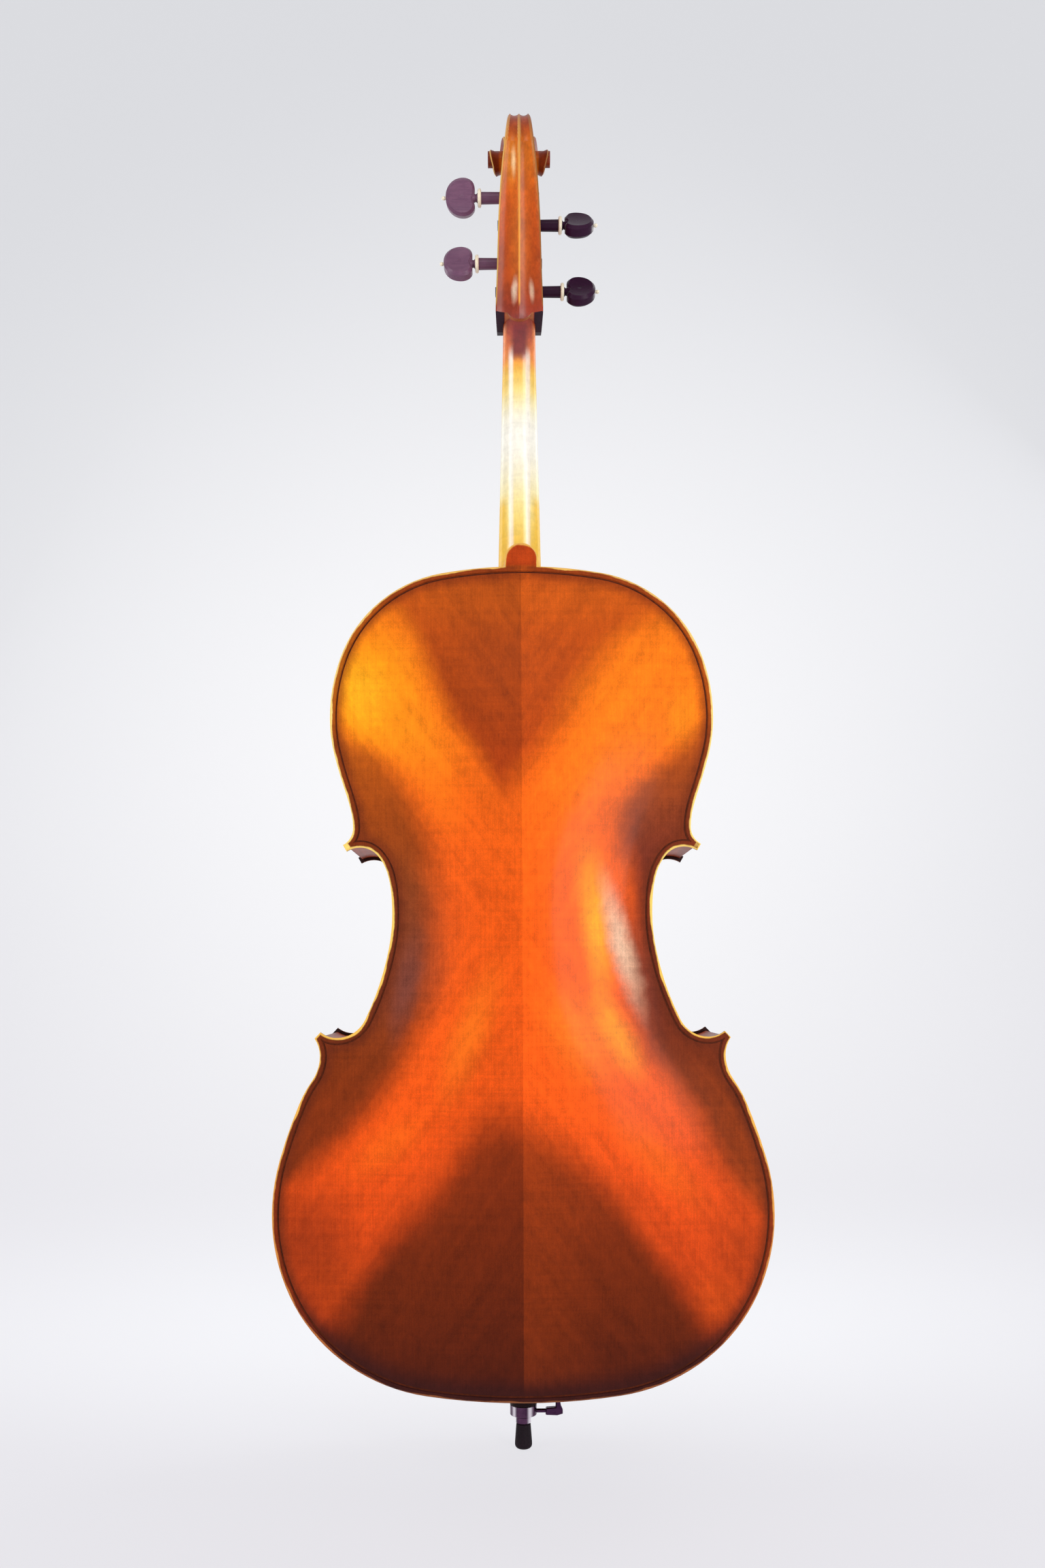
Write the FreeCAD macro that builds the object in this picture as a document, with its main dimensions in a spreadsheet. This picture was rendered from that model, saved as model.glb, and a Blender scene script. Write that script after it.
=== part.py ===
"""Full-size cello, built as its maker builds it: carved plates on a rib garland with blocks,
linings, bass bar and sound post, a one-piece neck and scroll, and the ebony and metal fittings.

Millimetres. +Z runs up the instrument, the strings face -Y, the back faces +Y and +X is the
treble (A string) side. The origin is the bottom of the rubber endpin tip, on the endpin's axis.
"""
import FreeCAD, Part
import Sketcher
import math
import os
from FreeCAD import Placement, Rotation, Vector

SIZES = (
    # name, millimetres or degrees, what it is
    ("body_bottom", 62.0, "height of the body's bottom edge above the endpin's tip"),
    ("body_length", 755.0, "length of the back without its button"),
    ("lower_width", 453.6, "widest part of the lower bout"),
    ("lower_height", 169.0, "height of that width above the body's bottom edge"),
    ("waist_width", 234.6, "narrowest part of the waist"),
    ("waist_height", 442.0, "height of that width above the body's bottom edge"),
    ("upper_width", 345.8, "widest part of the upper bout"),
    ("upper_height", 618.0, "height of that width above the body's bottom edge"),
    ("lower_corner_x", 187.8, "outer end of the lower corner from the centre line"),
    ("lower_corner_z", 329.6, "outer end of the lower corner above the bottom edge"),
    ("upper_corner_x", 161.5, "outer end of the upper corner from the centre line"),
    ("upper_corner_z", 504.0, "outer end of the upper corner above the bottom edge"),
    ("rib_depth", 118.0, "height of the ribs between the plates"),
    ("rib_thickness", 1.6, "thickness of a rib"),
    ("overhang", 3.0, "how far a plate stands out past the ribs"),
    ("edge_thickness", 4.8, "thickness of a plate along its raised edge"),
    ("edge_width", 4.5, "width of the raised edge"),
    ("edge_bevel", 1.3, "bevel of the raised edge's outer corner"),
    ("channel_thickness", 3.9, "thickness of a plate in the channel beside its edge"),
    ("channel_width", 11.0, "distance from the outline to where the arch starts to rise"),
    ("back_arch", 27.0, "height of the back's arch above the ribs"),
    ("front_arch", 25.0, "height of the front's arch above the ribs"),
    ("back_centre_thickness", 6.5, "thickness of the back at its middle"),
    ("front_centre_thickness", 4.8, "thickness of the front at its middle"),
    ("purfling_inset", 5.1, "distance from the outline to the purfling"),
    ("purfling_width", 1.3, "width of the inlaid purfling"),
    ("purfling_depth", 2.0, "depth of the inlaid purfling"),
    ("button_width", 29.8, "width of the back's button"),
    ("button_height", 21.0, "height of the button above the body's top edge"),
    ("lining_thickness", 2.2, "thickness of a lining"),
    ("lining_height", 15.0, "height of a lining"),
    ("top_block_width", 140.0, "width of the block that holds the neck"),
    ("top_block_length", 45.0, "length of that block along the centre line"),
    ("bottom_block_width", 150.0, "width of the block that holds the endpin"),
    ("bottom_block_length", 32.0, "length of that block along the centre line"),
    ("corner_block_length", 34.0, "length of a corner block from the corner's end"),
    ("bass_bar_length", 580.0, "length of the bass bar"),
    ("bass_bar_width", 11.0, "width of the bass bar"),
    ("bass_bar_depth", 25.0, "depth of the bass bar below the front at its middle"),
    ("bass_bar_offset", 20.0, "distance of the bass bar's middle from the centre line"),
    ("sound_post_diameter", 11.0, "diameter of the sound post"),
    ("sound_post_offset", 24.0, "distance of the sound post from the centre line"),
    ("sound_post_setback", 16.0, "distance of the sound post below the bridge"),
    ("stop_length", 400.0, "body's top edge to the bridge"),
    ("sound_hole_length", 136.0, "length of an f-hole from end to end"),
    ("sound_hole_width", 7.0, "width of an f-hole's stem"),
    ("sound_hole_upper_eye", 11.0, "diameter of an f-hole's upper eye"),
    ("sound_hole_lower_eye", 14.5, "diameter of an f-hole's lower eye"),
    ("sound_hole_upper_x", 51.0, "upper eye from the centre line"),
    ("sound_hole_lower_x", 96.0, "lower eye from the centre line"),
    ("neck_length", 263.0, "body's top edge to the nut, along the fingerboard's seat"),
    ("neck_tilt", 9.1, "how far the neck leans back, degrees"),
    ("neck_stand", 22.0, "height of the fingerboard's seat above the front's edge"),
    ("neck_top_width", 30.5, "width of the neck at the nut"),
    ("neck_root_width", 44.7, "width of the neck at the body"),
    ("neck_top_depth", 18.0, "depth of the neck's wood behind the nut"),
    ("neck_low_depth", 22.0, "depth of the neck's wood where the heel begins"),
    ("heel_start", 44.0, "height above the body's edge where the heel begins"),
    ("root_depth", 12.0, "depth of the neck's root below the body's top edge"),
    ("fingerboard_length", 580.0, "length of the fingerboard"),
    ("fingerboard_top_width", 31.0, "width of the fingerboard at the nut"),
    ("fingerboard_end_width", 62.0, "width of the fingerboard at its free end"),
    ("fingerboard_side", 6.5, "thickness of the fingerboard at its sides"),
    ("fingerboard_radius", 62.0, "radius across the fingerboard's top"),
    ("nut_length", 9.0, "length of the nut along the strings"),
    ("nut_rise", 1.2, "height of the nut above the fingerboard"),
    ("head_low_depth", 44.0, "pegbox back behind the fingerboard's seat at the shoulders"),
    ("eye_height", 148.0, "scroll's eye above the nut, along the neck"),
    ("eye_depth", 27.0, "scroll's eye behind the fingerboard's seat"),
    ("pegbox_low_width", 44.6, "width of the pegbox at its shoulders"),
    ("pegbox_high_width", 37.6, "width of the pegbox below the scroll"),
    ("pegbox_wall", 7.0, "thickness of the pegbox walls"),
    ("shoulder_rise", 7.3, "how much higher the pegbox's shoulders end at its back"),
    ("chin_drop", 5.5, "how far the pegbox's chin hangs below its shoulders' back edges"),
    ("pegbox_floor", 13.0, "thickness of the wood behind the pegbox"),
    ("scroll_radius", 40.0, "radius of the scroll where it leaves the pegbox"),
    ("scroll_top_width", 16.0, "width across the top of the scroll"),
    ("scroll_eye_width", 58.6, "width across both eyes of the scroll"),
    ("eye_diameter", 14.0, "diameter of the scroll's eye"),
    ("peg_hole_gap", 0.06, "clearance between a peg and its hole, on the radius"),
    ("peg_diameter", 10.6, "diameter of a peg outside the wall that it enters first"),
    ("peg_taper", 25.0, "length over which a peg loses one millimetre of diameter"),
    ("peg_reach", 1.2, "how far a peg's small end stands out of the far wall"),
    ("peg_collar_gap", 18.0, "from the pegbox wall to the peg's ring"),
    ("peg_ring_diameter", 16.0, "diameter of a peg's ring"),
    ("peg_ring_length", 3.4, "length of a peg's ring"),
    ("peg_head_width", 32.5, "height of a peg's thumb piece"),
    ("peg_head_length", 27.5, "length of a peg's thumb piece along the peg"),
    ("peg_height_c", 33.0, "C peg above the nut, along the neck"),
    ("peg_height_a", 57.0, "A peg above the nut"),
    ("peg_height_g", 89.0, "G peg above the nut"),
    ("peg_height_d", 111.5, "D peg above the nut"),
    ("peg_head_thickness", 13.0, "thickness of a peg's thumb piece"),
    ("peg_ball_diameter", 3.7, "diameter of the pin on a peg's end"),
    ("saddle_width", 40.0, "width of the saddle"),
    ("saddle_length", 9.0, "length of the saddle along the centre line"),
    ("saddle_rise", 4.0, "height of the saddle above the front's edge"),
    ("bridge_height", 90.0, "height of the bridge at its middle"),
    ("bridge_width", 90.0, "width of the bridge across its feet"),
    ("bridge_top_width", 63.0, "width of the bridge's top"),
    ("bridge_foot_thickness", 11.5, "thickness of the bridge at its feet"),
    ("bridge_top_thickness", 2.8, "thickness of the bridge at its top"),
    ("string_spread_bridge", 16.0, "distance between neighbouring strings at the bridge"),
    ("string_spread_nut", 7.3, "distance between neighbouring strings at the nut"),
    ("string_diameter_a", 0.8, "diameter of the A string"),
    ("string_diameter_d", 1.0, "diameter of the D string"),
    ("string_diameter_g", 1.3, "diameter of the G string"),
    ("string_diameter_c", 1.7, "diameter of the C string"),
    ("tailpiece_length", 235.0, "length of the tailpiece"),
    ("tailpiece_top_width", 57.0, "width of the tailpiece at the strings"),
    ("tailpiece_low_width", 27.0, "width of the tailpiece at the tailgut"),
    ("tailpiece_thickness", 7.0, "thickness of the tailpiece"),
    ("tailpiece_gap", 95.0, "bridge to the tailpiece's upper end"),
    ("string_break", 30.0, "drop of the strings from the bridge to the tuners"),
    ("string_spread_tail", 12.0, "distance between neighbouring strings at the tuners"),
    ("tailgut_diameter", 2.6, "diameter of the tailgut"),
    ("tuner_screw_diameter", 4.0, "diameter of a fine tuner's screw"),
    ("tuner_knob_diameter", 9.0, "diameter of a fine tuner's knob"),
    ("tuner_inset", 20.0, "tailpiece's upper end to the tuners' forks"),
    ("tuner_reach", 13.0, "from a tuner's fork to its screw"),
    ("tuner_lever_width", 3.6, "width of a fine tuner's lever"),
    ("tuner_pin_diameter", 2.0, "diameter of the pin that the levers turn on"),
    ("tuner_gap", 0.06, "clearance of a fine tuner's screw and pin, on the radius"),
    ("string_gap", 0.05, "clearance round a string in its slots"),
    ("plug_diameter", 26.0, "diameter of the endpin plug inside the block"),
    ("plug_flange_diameter", 31.0, "diameter of the endpin plug against the ribs"),
    ("plug_flange_length", 22.8, "length of the plug below the ribs"),
    ("plug_groove_diameter", 22.0, "diameter of the groove that the tailgut lies in"),
    ("collar_diameter", 25.4, "diameter of the metal collar"),
    ("collar_length", 11.5, "length of the metal collar below the plug"),
    ("collar_neck_diameter", 14.2, "diameter of the collar's lower neck"),
    ("collar_neck_length", 6.5, "length of the collar's lower neck"),
    ("rod_diameter", 10.0, "diameter of the endpin's rod"),
    ("rod_length", 480.0, "length of the endpin's rod"),
    ("rod_gap", 0.08, "clearance between the rod and its collar, on the radius"),
    ("tip_length", 24.0, "length of the rubber tip"),
    ("tip_top_diameter", 13.7, "diameter of the rubber tip at its top"),
    ("tip_low_diameter", 16.3, "largest diameter of the rubber tip"),
    ("tip_flat_diameter", 8.0, "diameter of the flat that the endpin stands on"),
    ("thumbscrew_height", 35.5, "height of the endpin's thumbscrew above the tip's foot"),
    ("thumbscrew_diameter", 3.8, "diameter of the thumbscrew's shank"),
)

doc = FreeCAD.newDocument("Cello")
sheet = doc.addObject("Spreadsheet::Sheet", "Sizes")
for row, (alias, value, meaning) in enumerate(SIZES, 1):
    sheet.set(f"A{row}", meaning)
    sheet.set(f"B{row}", str(value))
    sheet.setAlias(f"B{row}", alias)
doc.recompute()

SUBPARTS = []


class SheetValues:
    """The spreadsheet's cells as attributes."""

    def __getattr__(self, alias):
        return float(getattr(sheet, alias))


v = SheetValues()

# ---------------------------------------------------------------- general helpers


def keep(obj, label):
    """Give a document object its label and list it as a sub-part."""
    obj.Label = label
    SUBPARTS.append(obj)
    return obj


def feature(label, shape):
    """A sub-part whose shape comes from Part's functions."""
    obj = doc.addObject("Part::Feature", label)
    obj.Shape = shape
    obj.Placement = shape.Placement
    return keep(obj, label)


def body_z(height):
    """A height above the body's bottom edge, in the whole part's frame."""
    return v.body_bottom + height


def box(x0, x1, y0, y1, z0, z1):
    """A box between two corners."""
    return Part.makeBox(x1 - x0, y1 - y0, z1 - z0, Vector(x0, y0, z0))


def rod(start, end, diameter):
    """A cylinder between two points."""
    return Part.makeCylinder(diameter / 2, (end - start).Length, start, end - start)


def mirrored(shape):
    """The same shape on the other side of the instrument's middle plane."""
    return shape.mirror(Vector(0, 0, 0), Vector(1, 0, 0))


def both_sides(shape):
    """A list of the shape and its mirror image."""
    return [shape, mirrored(shape)]


def solids(shapes):
    """Every solid of some shapes in one compound."""
    return Part.makeCompound([solid for shape in shapes for solid in shape.Solids])


def tidy(shape):
    """A boolean's result with its seams merged, as one solid where it is one."""
    clean = shape.removeSplitter()
    return clean.Solids[0] if len(clean.Solids) == 1 else solids([clean])


def polygon(points):
    """A closed wire through points."""
    return Part.makePolygon(list(points) + [points[0]])


def prism(points, direction):
    """A polygon pushed along a direction."""
    return Part.Face(polygon(points)).extrude(direction)


def smooth_curve(points, tangents=None):
    """A spline edge through points, with end tangents where they are given."""
    curve = Part.BSplineCurve()
    if tangents:
        curve.interpolate(Points=points, InitialTangent=tangents[0], FinalTangent=tangents[1])
    else:
        curve.interpolate(Points=points)
    return curve.toShape()


def bent_line(points, bends):
    """Edges along straight runs, joined by arcs of the radii in bends, one for each corner."""
    edges = []
    start = points[0]
    for corner, following, bend in zip(points[1:], points[2:], bends):
        before = (corner - start).normalize()
        after = (following - corner).normalize()
        turn = before.getAngle(after)
        if turn < 1e-4:
            continue
        cut = bend * math.tan(turn / 2)
        first = corner - before * cut
        last = corner + after * cut
        inward = (after - before).normalize()
        middle = corner + inward * (bend / math.cos(turn / 2) - bend)
        edges.append(Part.LineSegment(start, first).toShape())
        edges.append(Part.Arc(first, middle, last).toShape())
        start = last
    edges.append(Part.LineSegment(start, points[-1]).toShape())
    return edges


def tube(points, diameter, bends):
    """A round wire along a bent line."""
    ring = Part.makeCircle(diameter / 2, points[0], points[1] - points[0])
    line = Part.Wire(bent_line(points, bends))
    return line.makePipeShell([Part.Wire(ring)], True, False)


# ---------------------------------------------------------------- the body's outline


def heading(degrees):
    """A unit vector in the outline's plane: 0 points to the treble side, 90 up."""
    angle = math.radians(degrees)
    return Vector(math.cos(angle), 0, math.sin(angle))


def tangent_arc(start, direction, end):
    """An arc from start, leaving along direction, to end."""
    chord = end - start
    side = chord.cross(Vector(0, 1, 0))
    turn = math.atan2(direction.dot(side), direction.dot(chord))
    middle = start + chord * 0.5 + side * (math.tan(turn / 2) / 2)
    return Part.Arc(start, middle, end).toShape()


def arc_chain(stations):
    """Arcs through stations of (x, z, heading), two to a span so that all meet tangent.

    A station at a chain's end may have no heading, and one arc reaches it."""
    edges = []
    for (x0, z0, start), (x1, z1, end) in zip(stations, stations[1:]):
        first = Vector(x0, 0, body_z(z0))
        last = Vector(x1, 0, body_z(z1))
        if end is None:
            edges.append(tangent_arc(first, heading(start), last))
            continue
        if start is None:
            edges.append(tangent_arc(last, -heading(end), first))
            continue
        leave = heading(start)
        arrive = heading(end)
        chord = last - first
        both = leave + arrive
        spread = 2 * (1 - leave.dot(arrive))
        if spread < 1e-9:
            reach = chord.dot(chord) / (4 * chord.dot(arrive))
        else:
            root = math.sqrt(chord.dot(both) ** 2 + spread * chord.dot(chord))
            reach = (root - chord.dot(both)) / spread
        joint = (first + leave * reach + last - arrive * reach) * 0.5
        edges.append(tangent_arc(first, leave, joint))
        edges.append(tangent_arc(last, -arrive, joint))
    return edges


LOWER_HALF = v.lower_width / 2
WAIST_HALF = v.waist_width / 2
UPPER_HALF = v.upper_width / 2
# Each corner's blunt end runs from its outer point to its inner point.
LOWER_CORNER = (v.lower_corner_x, v.lower_corner_z)
LOWER_CORNER_INNER = (LOWER_CORNER[0] - 5.3, LOWER_CORNER[1] + 5.6)
UPPER_CORNER = (v.upper_corner_x, v.upper_corner_z)
UPPER_CORNER_INNER = (UPPER_CORNER[0] - 3.2, UPPER_CORNER[1] - 5.6)


def treble_outline():
    """The outline's treble half as edges, from the bottom centre to the top centre."""
    rise = v.upper_height - v.upper_corner_z
    crown = v.body_length - v.upper_height
    lower_bout = arc_chain([
        (0, 0, 0),
        (LOWER_HALF * 0.73, v.lower_height * 0.237, 38),
        (LOWER_HALF, v.lower_height, 90),
        (LOWER_CORNER[0] + 14.2, LOWER_CORNER[1] - 59.6, 112.5),
        (LOWER_CORNER[0] - 4.8, LOWER_CORNER[1] - 15.6, 90),
        (*LOWER_CORNER, None),
    ])
    waist = arc_chain([
        (*LOWER_CORNER_INNER, None),
        (LOWER_CORNER[0] - 19.8, LOWER_CORNER[1] + 0.4, 180),
        (WAIST_HALF + 11.5, v.waist_height - 63.2, 108.3),
        (WAIST_HALF, v.waist_height, 90),
        (WAIST_HALF + 4.3, v.waist_height + 37, 73),
        (UPPER_CORNER[0] - 15.5, UPPER_CORNER[1] - 2.2, 0),
        (*UPPER_CORNER_INNER, None),
    ])
    upper_bout = arc_chain([
        (*UPPER_CORNER, None),
        (UPPER_CORNER[0] - 9.2, UPPER_CORNER[1] + 15.5, 90),
        (UPPER_HALF * 0.925, v.upper_corner_z + rise * 0.444, 71.6),
        (UPPER_HALF, v.upper_height, 90),
        (UPPER_HALF * 0.772, v.upper_height + crown * 0.73, 136.7),
        (0, v.body_length, 180),
    ])
    corners = []
    for outer, inner in ((LOWER_CORNER, LOWER_CORNER_INNER), (UPPER_CORNER, UPPER_CORNER_INNER)):
        ends = [Vector(x, 0, body_z(z)) for x, z in (outer, inner)]
        corners.append(Part.LineSegment(*ends).toShape())
    return lower_bout + corners[:1] + waist + corners[1:] + upper_bout


def outline_wire():
    """The whole outline as one closed wire in the plane Y = 0."""
    half = treble_outline()
    edges = half + [mirrored(edge) for edge in half]
    return Part.Wire(Part.__sortEdges__(edges))


OUTLINE = outline_wire()


def outline_face(inset, y=0.0):
    """The outline moved inward, as a face at Y = y."""
    face = Part.Face(OUTLINE)
    if inset:
        face = face.makeOffset2D(-inset)
    face.translate(Vector(0, y, 0))
    return face


def ring_prism(outer_inset, inner_inset, y0, y1):
    """The band between two insets of the outline, from Y = y0 to Y = y1."""
    band = outline_face(outer_inset, y0).cut(outline_face(inner_inset, y0))
    return band.extrude(Vector(0, y1 - y0, 0))


# ---------------------------------------------------------------- the plates' arching


def arch_bounds(inset):
    """Points (z, half width) of a smooth cornerless outline, inset from the real widths."""
    edges = arc_chain([
        (0, inset, 0),
        (LOWER_HALF - inset, v.lower_height, 90),
        (WAIST_HALF - inset, v.waist_height, 90),
        (UPPER_HALF - inset, v.upper_height, 90),
        (0, v.body_length - inset, 180),
    ])
    points = []
    for edge in edges:
        run = edge.discretize(160)
        if run[0].z > run[-1].z:
            run.reverse()
        points.extend((point.z - v.body_bottom, point.x) for point in run)
    return points


def half_width(bounds, z):
    """The smooth half width at height z, or 0 past its ends."""
    for (z0, x0), (z1, x1) in zip(bounds, bounds[1:]):
        if z0 <= z <= z1 and z1 > z0:
            return x0 + (x1 - x0) * (z - z0) / (z1 - z0)
    return 0.0


def arch_surface(inset, low, high):
    """A plate's arched surface as a face over its treble half: Y is the height, which goes
    from low in the channel to high at the middle."""
    bounds = arch_bounds(inset)
    middle = v.body_length / 2
    half_length = middle - inset
    step = 20.0
    columns = int(LOWER_HALF / step) + 4
    rows = int(v.body_length / step) + 4
    grid = []
    for column in range(columns):
        x = (column - 1) * step
        line = []
        for row in range(rows):
            z = (row - 1) * step
            width = half_width(bounds, z)
            share = 0.0
            if width > abs(x):
                along = min(abs(z - middle) / half_length, 1.0) ** 1.8
                across = (abs(x) / width) ** 1.1
                share = (1 + math.cos(math.pi * along)) * (1 + math.cos(math.pi * across)) / 4
            line.append(Vector(x, low + (high - low) * share, body_z(z)))
        grid.append(line)
    surface = Part.BSplineSurface()
    surface.interpolate(grid)
    return surface.toShape()


def under(surface, depth):
    """The solid below an arched surface, down by depth."""
    return surface.extrude(Vector(0, -depth, 0))


def sound_hole():
    """The treble f-hole as a solid through the front, in the plate's own frame."""
    lower = (v.sound_hole_lower_x, v.body_length - v.stop_length - v.sound_hole_length * 0.43)
    upper = (v.sound_hole_upper_x, lower[1] + v.sound_hole_length * 0.90)
    half = v.sound_hole_width / 2
    run = upper[1] - lower[1]
    lean = (upper[0] + lower[0]) / 2
    reach = 60.0

    def at(x, z):
        return Vector(x, 0, body_z(z))

    eyes = [
        Part.makeCylinder(v.sound_hole_upper_eye / 2, reach, at(*upper), Vector(0, 1, 0)),
        Part.makeCylinder(v.sound_hole_lower_eye / 2, reach, at(*lower), Vector(0, 1, 0)),
    ]
    outer = [
        at(upper[0] - v.sound_hole_upper_eye / 2, upper[1]),
        at(upper[0] + 7, upper[1] + v.sound_hole_length * 0.07),
        at(upper[0] + 17, upper[1] - 4),
        at(lean + half + 1, lower[1] + run / 2),
        at(lower[0] - 12, lower[1] + 8),
        at(lower[0] - 6, lower[1] - 2),
        at(lower[0], lower[1] - v.sound_hole_lower_eye / 2 + 1.5),
    ]
    inner = [
        at(lower[0] + v.sound_hole_lower_eye / 2, lower[1]),
        at(lower[0] - 6, lower[1] - v.sound_hole_length * 0.08),
        at(lower[0] - 19, lower[1] + 3),
        at(lean - half - 1, lower[1] + run / 2),
        at(upper[0] + 10, upper[1] - 12),
        at(upper[0] + 5, upper[1] + 2),
        at(upper[0], upper[1] + v.sound_hole_upper_eye / 2 - 1.2),
    ]
    edges = [
        smooth_curve(outer),
        Part.LineSegment(outer[-1], inner[0]).toShape(),
        smooth_curve(inner),
        Part.LineSegment(inner[-1], outer[0]).toShape(),
    ]
    stem = Part.Face(Part.Wire(edges)).extrude(Vector(0, reach, 0))
    return stem.fuse(eyes)


# ---------------------------------------------------------------- the plates

REACH = 400.0  # further than any part of the body lies from its middle
TREBLE_SPACE = box(0, REACH, -REACH, REACH, 0, body_z(v.body_length) + REACH)
HOLLOW_LOW = -0.6  # level of the hollow's surface outside the arch, below the gluing plane
GLUE_BACK = v.rib_depth / 2
GLUE_FRONT = -v.rib_depth / 2


def raised_edge():
    """The treble half of a plate's raised edge, bevelled along the outline."""
    ring = ring_prism(0, v.edge_width, 0, v.edge_thickness).common(TREBLE_SPACE).Solids[0]
    outer = []
    for edge in ring.Edges:
        box_y = edge.BoundBox
        if box_y.YMin < v.edge_thickness - 0.01:
            continue
        middle = edge.valueAt((edge.FirstParameter + edge.LastParameter) / 2)
        seat = Part.Vertex(Vector(middle.x, 0, middle.z))
        if seat.distToShape(OUTLINE)[0] < 0.01:
            outer.append(edge)
    return ring.makeChamfer(v.edge_bevel, outer)


def purfling_groove():
    """The treble half of the groove for the purfling, open above the channel."""
    floor = v.channel_thickness - v.purfling_depth
    ends = (v.purfling_inset, v.purfling_inset + v.purfling_width)
    return ring_prism(*ends, floor, v.edge_thickness).common(TREBLE_SPACE)


def plate_half(arch, centre_thickness):
    """The treble half of a plate and of its purfling, with the gluing plane at Y = 0 and the
    arch towards +Y, and the solids below its outer and its hollow surface."""
    field = outline_face(v.edge_width / 2).common(TREBLE_SPACE)
    blank = field.extrude(Vector(0, arch + v.edge_thickness, 0))
    outside = under(arch_surface(v.channel_width, v.channel_thickness, arch), 2 * arch)
    hollow = arch_surface(v.channel_width + 1, HOLLOW_LOW, arch - centre_thickness)
    groove = purfling_groove()
    hollow = under(hollow, 2 * arch)
    carved = blank.common(outside).cut(groove).fuse(raised_edge())
    return carved.cut(hollow), groove.common(outside), outside, hollow


# ---------------------------------------------------------------- the neck's frame

LEAN = math.radians(v.neck_tilt)
ALONG = Vector(0, math.sin(LEAN), math.cos(LEAN))
BEHIND = Vector(0, math.cos(LEAN), -math.sin(LEAN))
SEAT = Vector(0, GLUE_FRONT - v.edge_thickness - v.neck_stand, body_z(v.body_length))
ROOT_FLOOR = body_z(v.body_length - v.root_depth)


def neck_at(x, along, behind):
    """A point of the neck: along the fingerboard's seat from the body's edge, and behind it."""
    return SEAT + Vector(x, 0, 0) + ALONG * along + BEHIND * behind


def head_at(x, above, behind):
    """A point of the head: above the nut along the neck, and behind the seat."""
    return neck_at(x, v.neck_length + above, behind)


def neck_frame(shape):
    """Carry a shape whose X, Y, Z mean aside, behind and along into the neck's place."""
    turn = Rotation(Vector(1, 0, 0), BEHIND, ALONG, "ZXY")
    moved = shape.copy()
    moved.Placement = Placement(SEAT, turn).multiply(moved.Placement)
    return moved


def arch_section(foot, up, width, height):
    """A section with a flat foot, straight sides and a round top, standing on a point."""
    half = width / 2
    sideways = Vector(half, 0, 0)
    shoulder = foot + up * (height - half)
    edges = [
        Part.LineSegment(foot - sideways, foot + sideways).toShape(),
        Part.LineSegment(foot + sideways, shoulder + sideways).toShape(),
        Part.Arc(shoulder + sideways, foot + up * height, shoulder - sideways).toShape(),
        Part.LineSegment(shoulder - sideways, foot - sideways).toShape(),
    ]
    return Part.Wire(edges)


def bezier(points, part):
    """A point on the curve that four control points make."""
    a, b, c, d = points
    rest = 1 - part
    return (a * rest ** 3 + b * (3 * rest ** 2 * part) + c * (3 * rest * part ** 2)
            + d * part ** 3)


def board_width(along):
    """The fingerboard's width at a place along the neck."""
    part = (v.neck_length - along) / v.fingerboard_length
    return v.fingerboard_top_width + (v.fingerboard_end_width - v.fingerboard_top_width) * part


SPARE = 3.0  # beyond the neck's seat and its root's floor, trimmed flat afterwards


def neck_shaft():
    """The neck's round back, from under the pegbox to the start of the heel."""
    deep = v.neck_top_depth
    stations = [(10, deep + 20), (-8, deep + 11), (-20, deep + 4), (-36, deep + 0.5)]
    for share in (0.35, 0.7, 1.0):
        above = -36 + (v.heel_start - v.neck_length + 36) * share
        stations.append((above, deep + (v.neck_low_depth - deep) * share))
    sections = []
    for above, depth in stations:
        width = board_width(v.neck_length + above)
        sections.append((head_at(0, above, -SPARE), BEHIND, width, depth + SPARE))
    return Part.makeLoft([arch_section(*section) for section in sections], True, False)


def neck_heel():
    """The heel, fanning out from the neck's round back to the button."""
    corner = Vector(0, SEAT.y, ROOT_FLOOR)
    foot_end = Vector(0, GLUE_BACK, ROOT_FLOOR - SPARE)
    top_end = Vector(0, GLUE_BACK, body_z(v.body_length + v.button_height))
    foot_start = neck_at(0, v.heel_start, -SPARE)
    top_start = neck_at(0, v.heel_start, v.neck_low_depth)
    crook = Vector(0, top_start.y + 38, top_end.z + 4)
    feet = (foot_start, corner, corner, foot_end)
    tops = (top_start, top_start - ALONG * 18, crook, top_end)
    wires = []
    count = 6
    for index in range(count + 1):
        part = index / count
        foot = bezier(feet, part)
        rise = bezier(tops, part) - foot
        start_width = board_width(v.heel_start)
        width = start_width + (v.button_width - start_width) * part ** 1.5
        wires.append(arch_section(foot, rise * (1 / rise.Length), width, rise.Length))
    return Part.makeLoft(wires, True, False)


def head_section(origin, out, reach, half, depth_of_flute, inner, inner_half):
    """A section of the pegbox or scroll: two flutes with a ridge between them on its outer
    side, bevelled edges, and straight cheeks down to its inner side."""
    bevel = 1.2
    flute = half - bevel

    def at(x, distance):
        return origin + Vector(x, 0, 0) + out * distance

    edges = []
    for sign in (1, -1):
        crest = at(sign * flute, reach)
        low = at(sign * flute / 2, reach - depth_of_flute)
        edge = at(sign * half, reach - bevel)
        foot = at(sign * inner_half, inner)
        run = [
            Part.Arc(at(0, reach), low, crest).toShape(),
            Part.LineSegment(crest, edge).toShape(),
            Part.LineSegment(edge, foot).toShape(),
        ]
        if sign < 0:
            run = [piece.reversed() for piece in reversed(run)]
            edges.append(Part.LineSegment(at(inner_half, inner), foot).toShape())
        edges.extend(run)
    return Part.Wire(edges)


SPIRAL_RADII = (1.0, 0.875, 0.75, 0.64, 0.53, 0.437, 0.375, 0.335, 0.262, 0.175)


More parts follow.
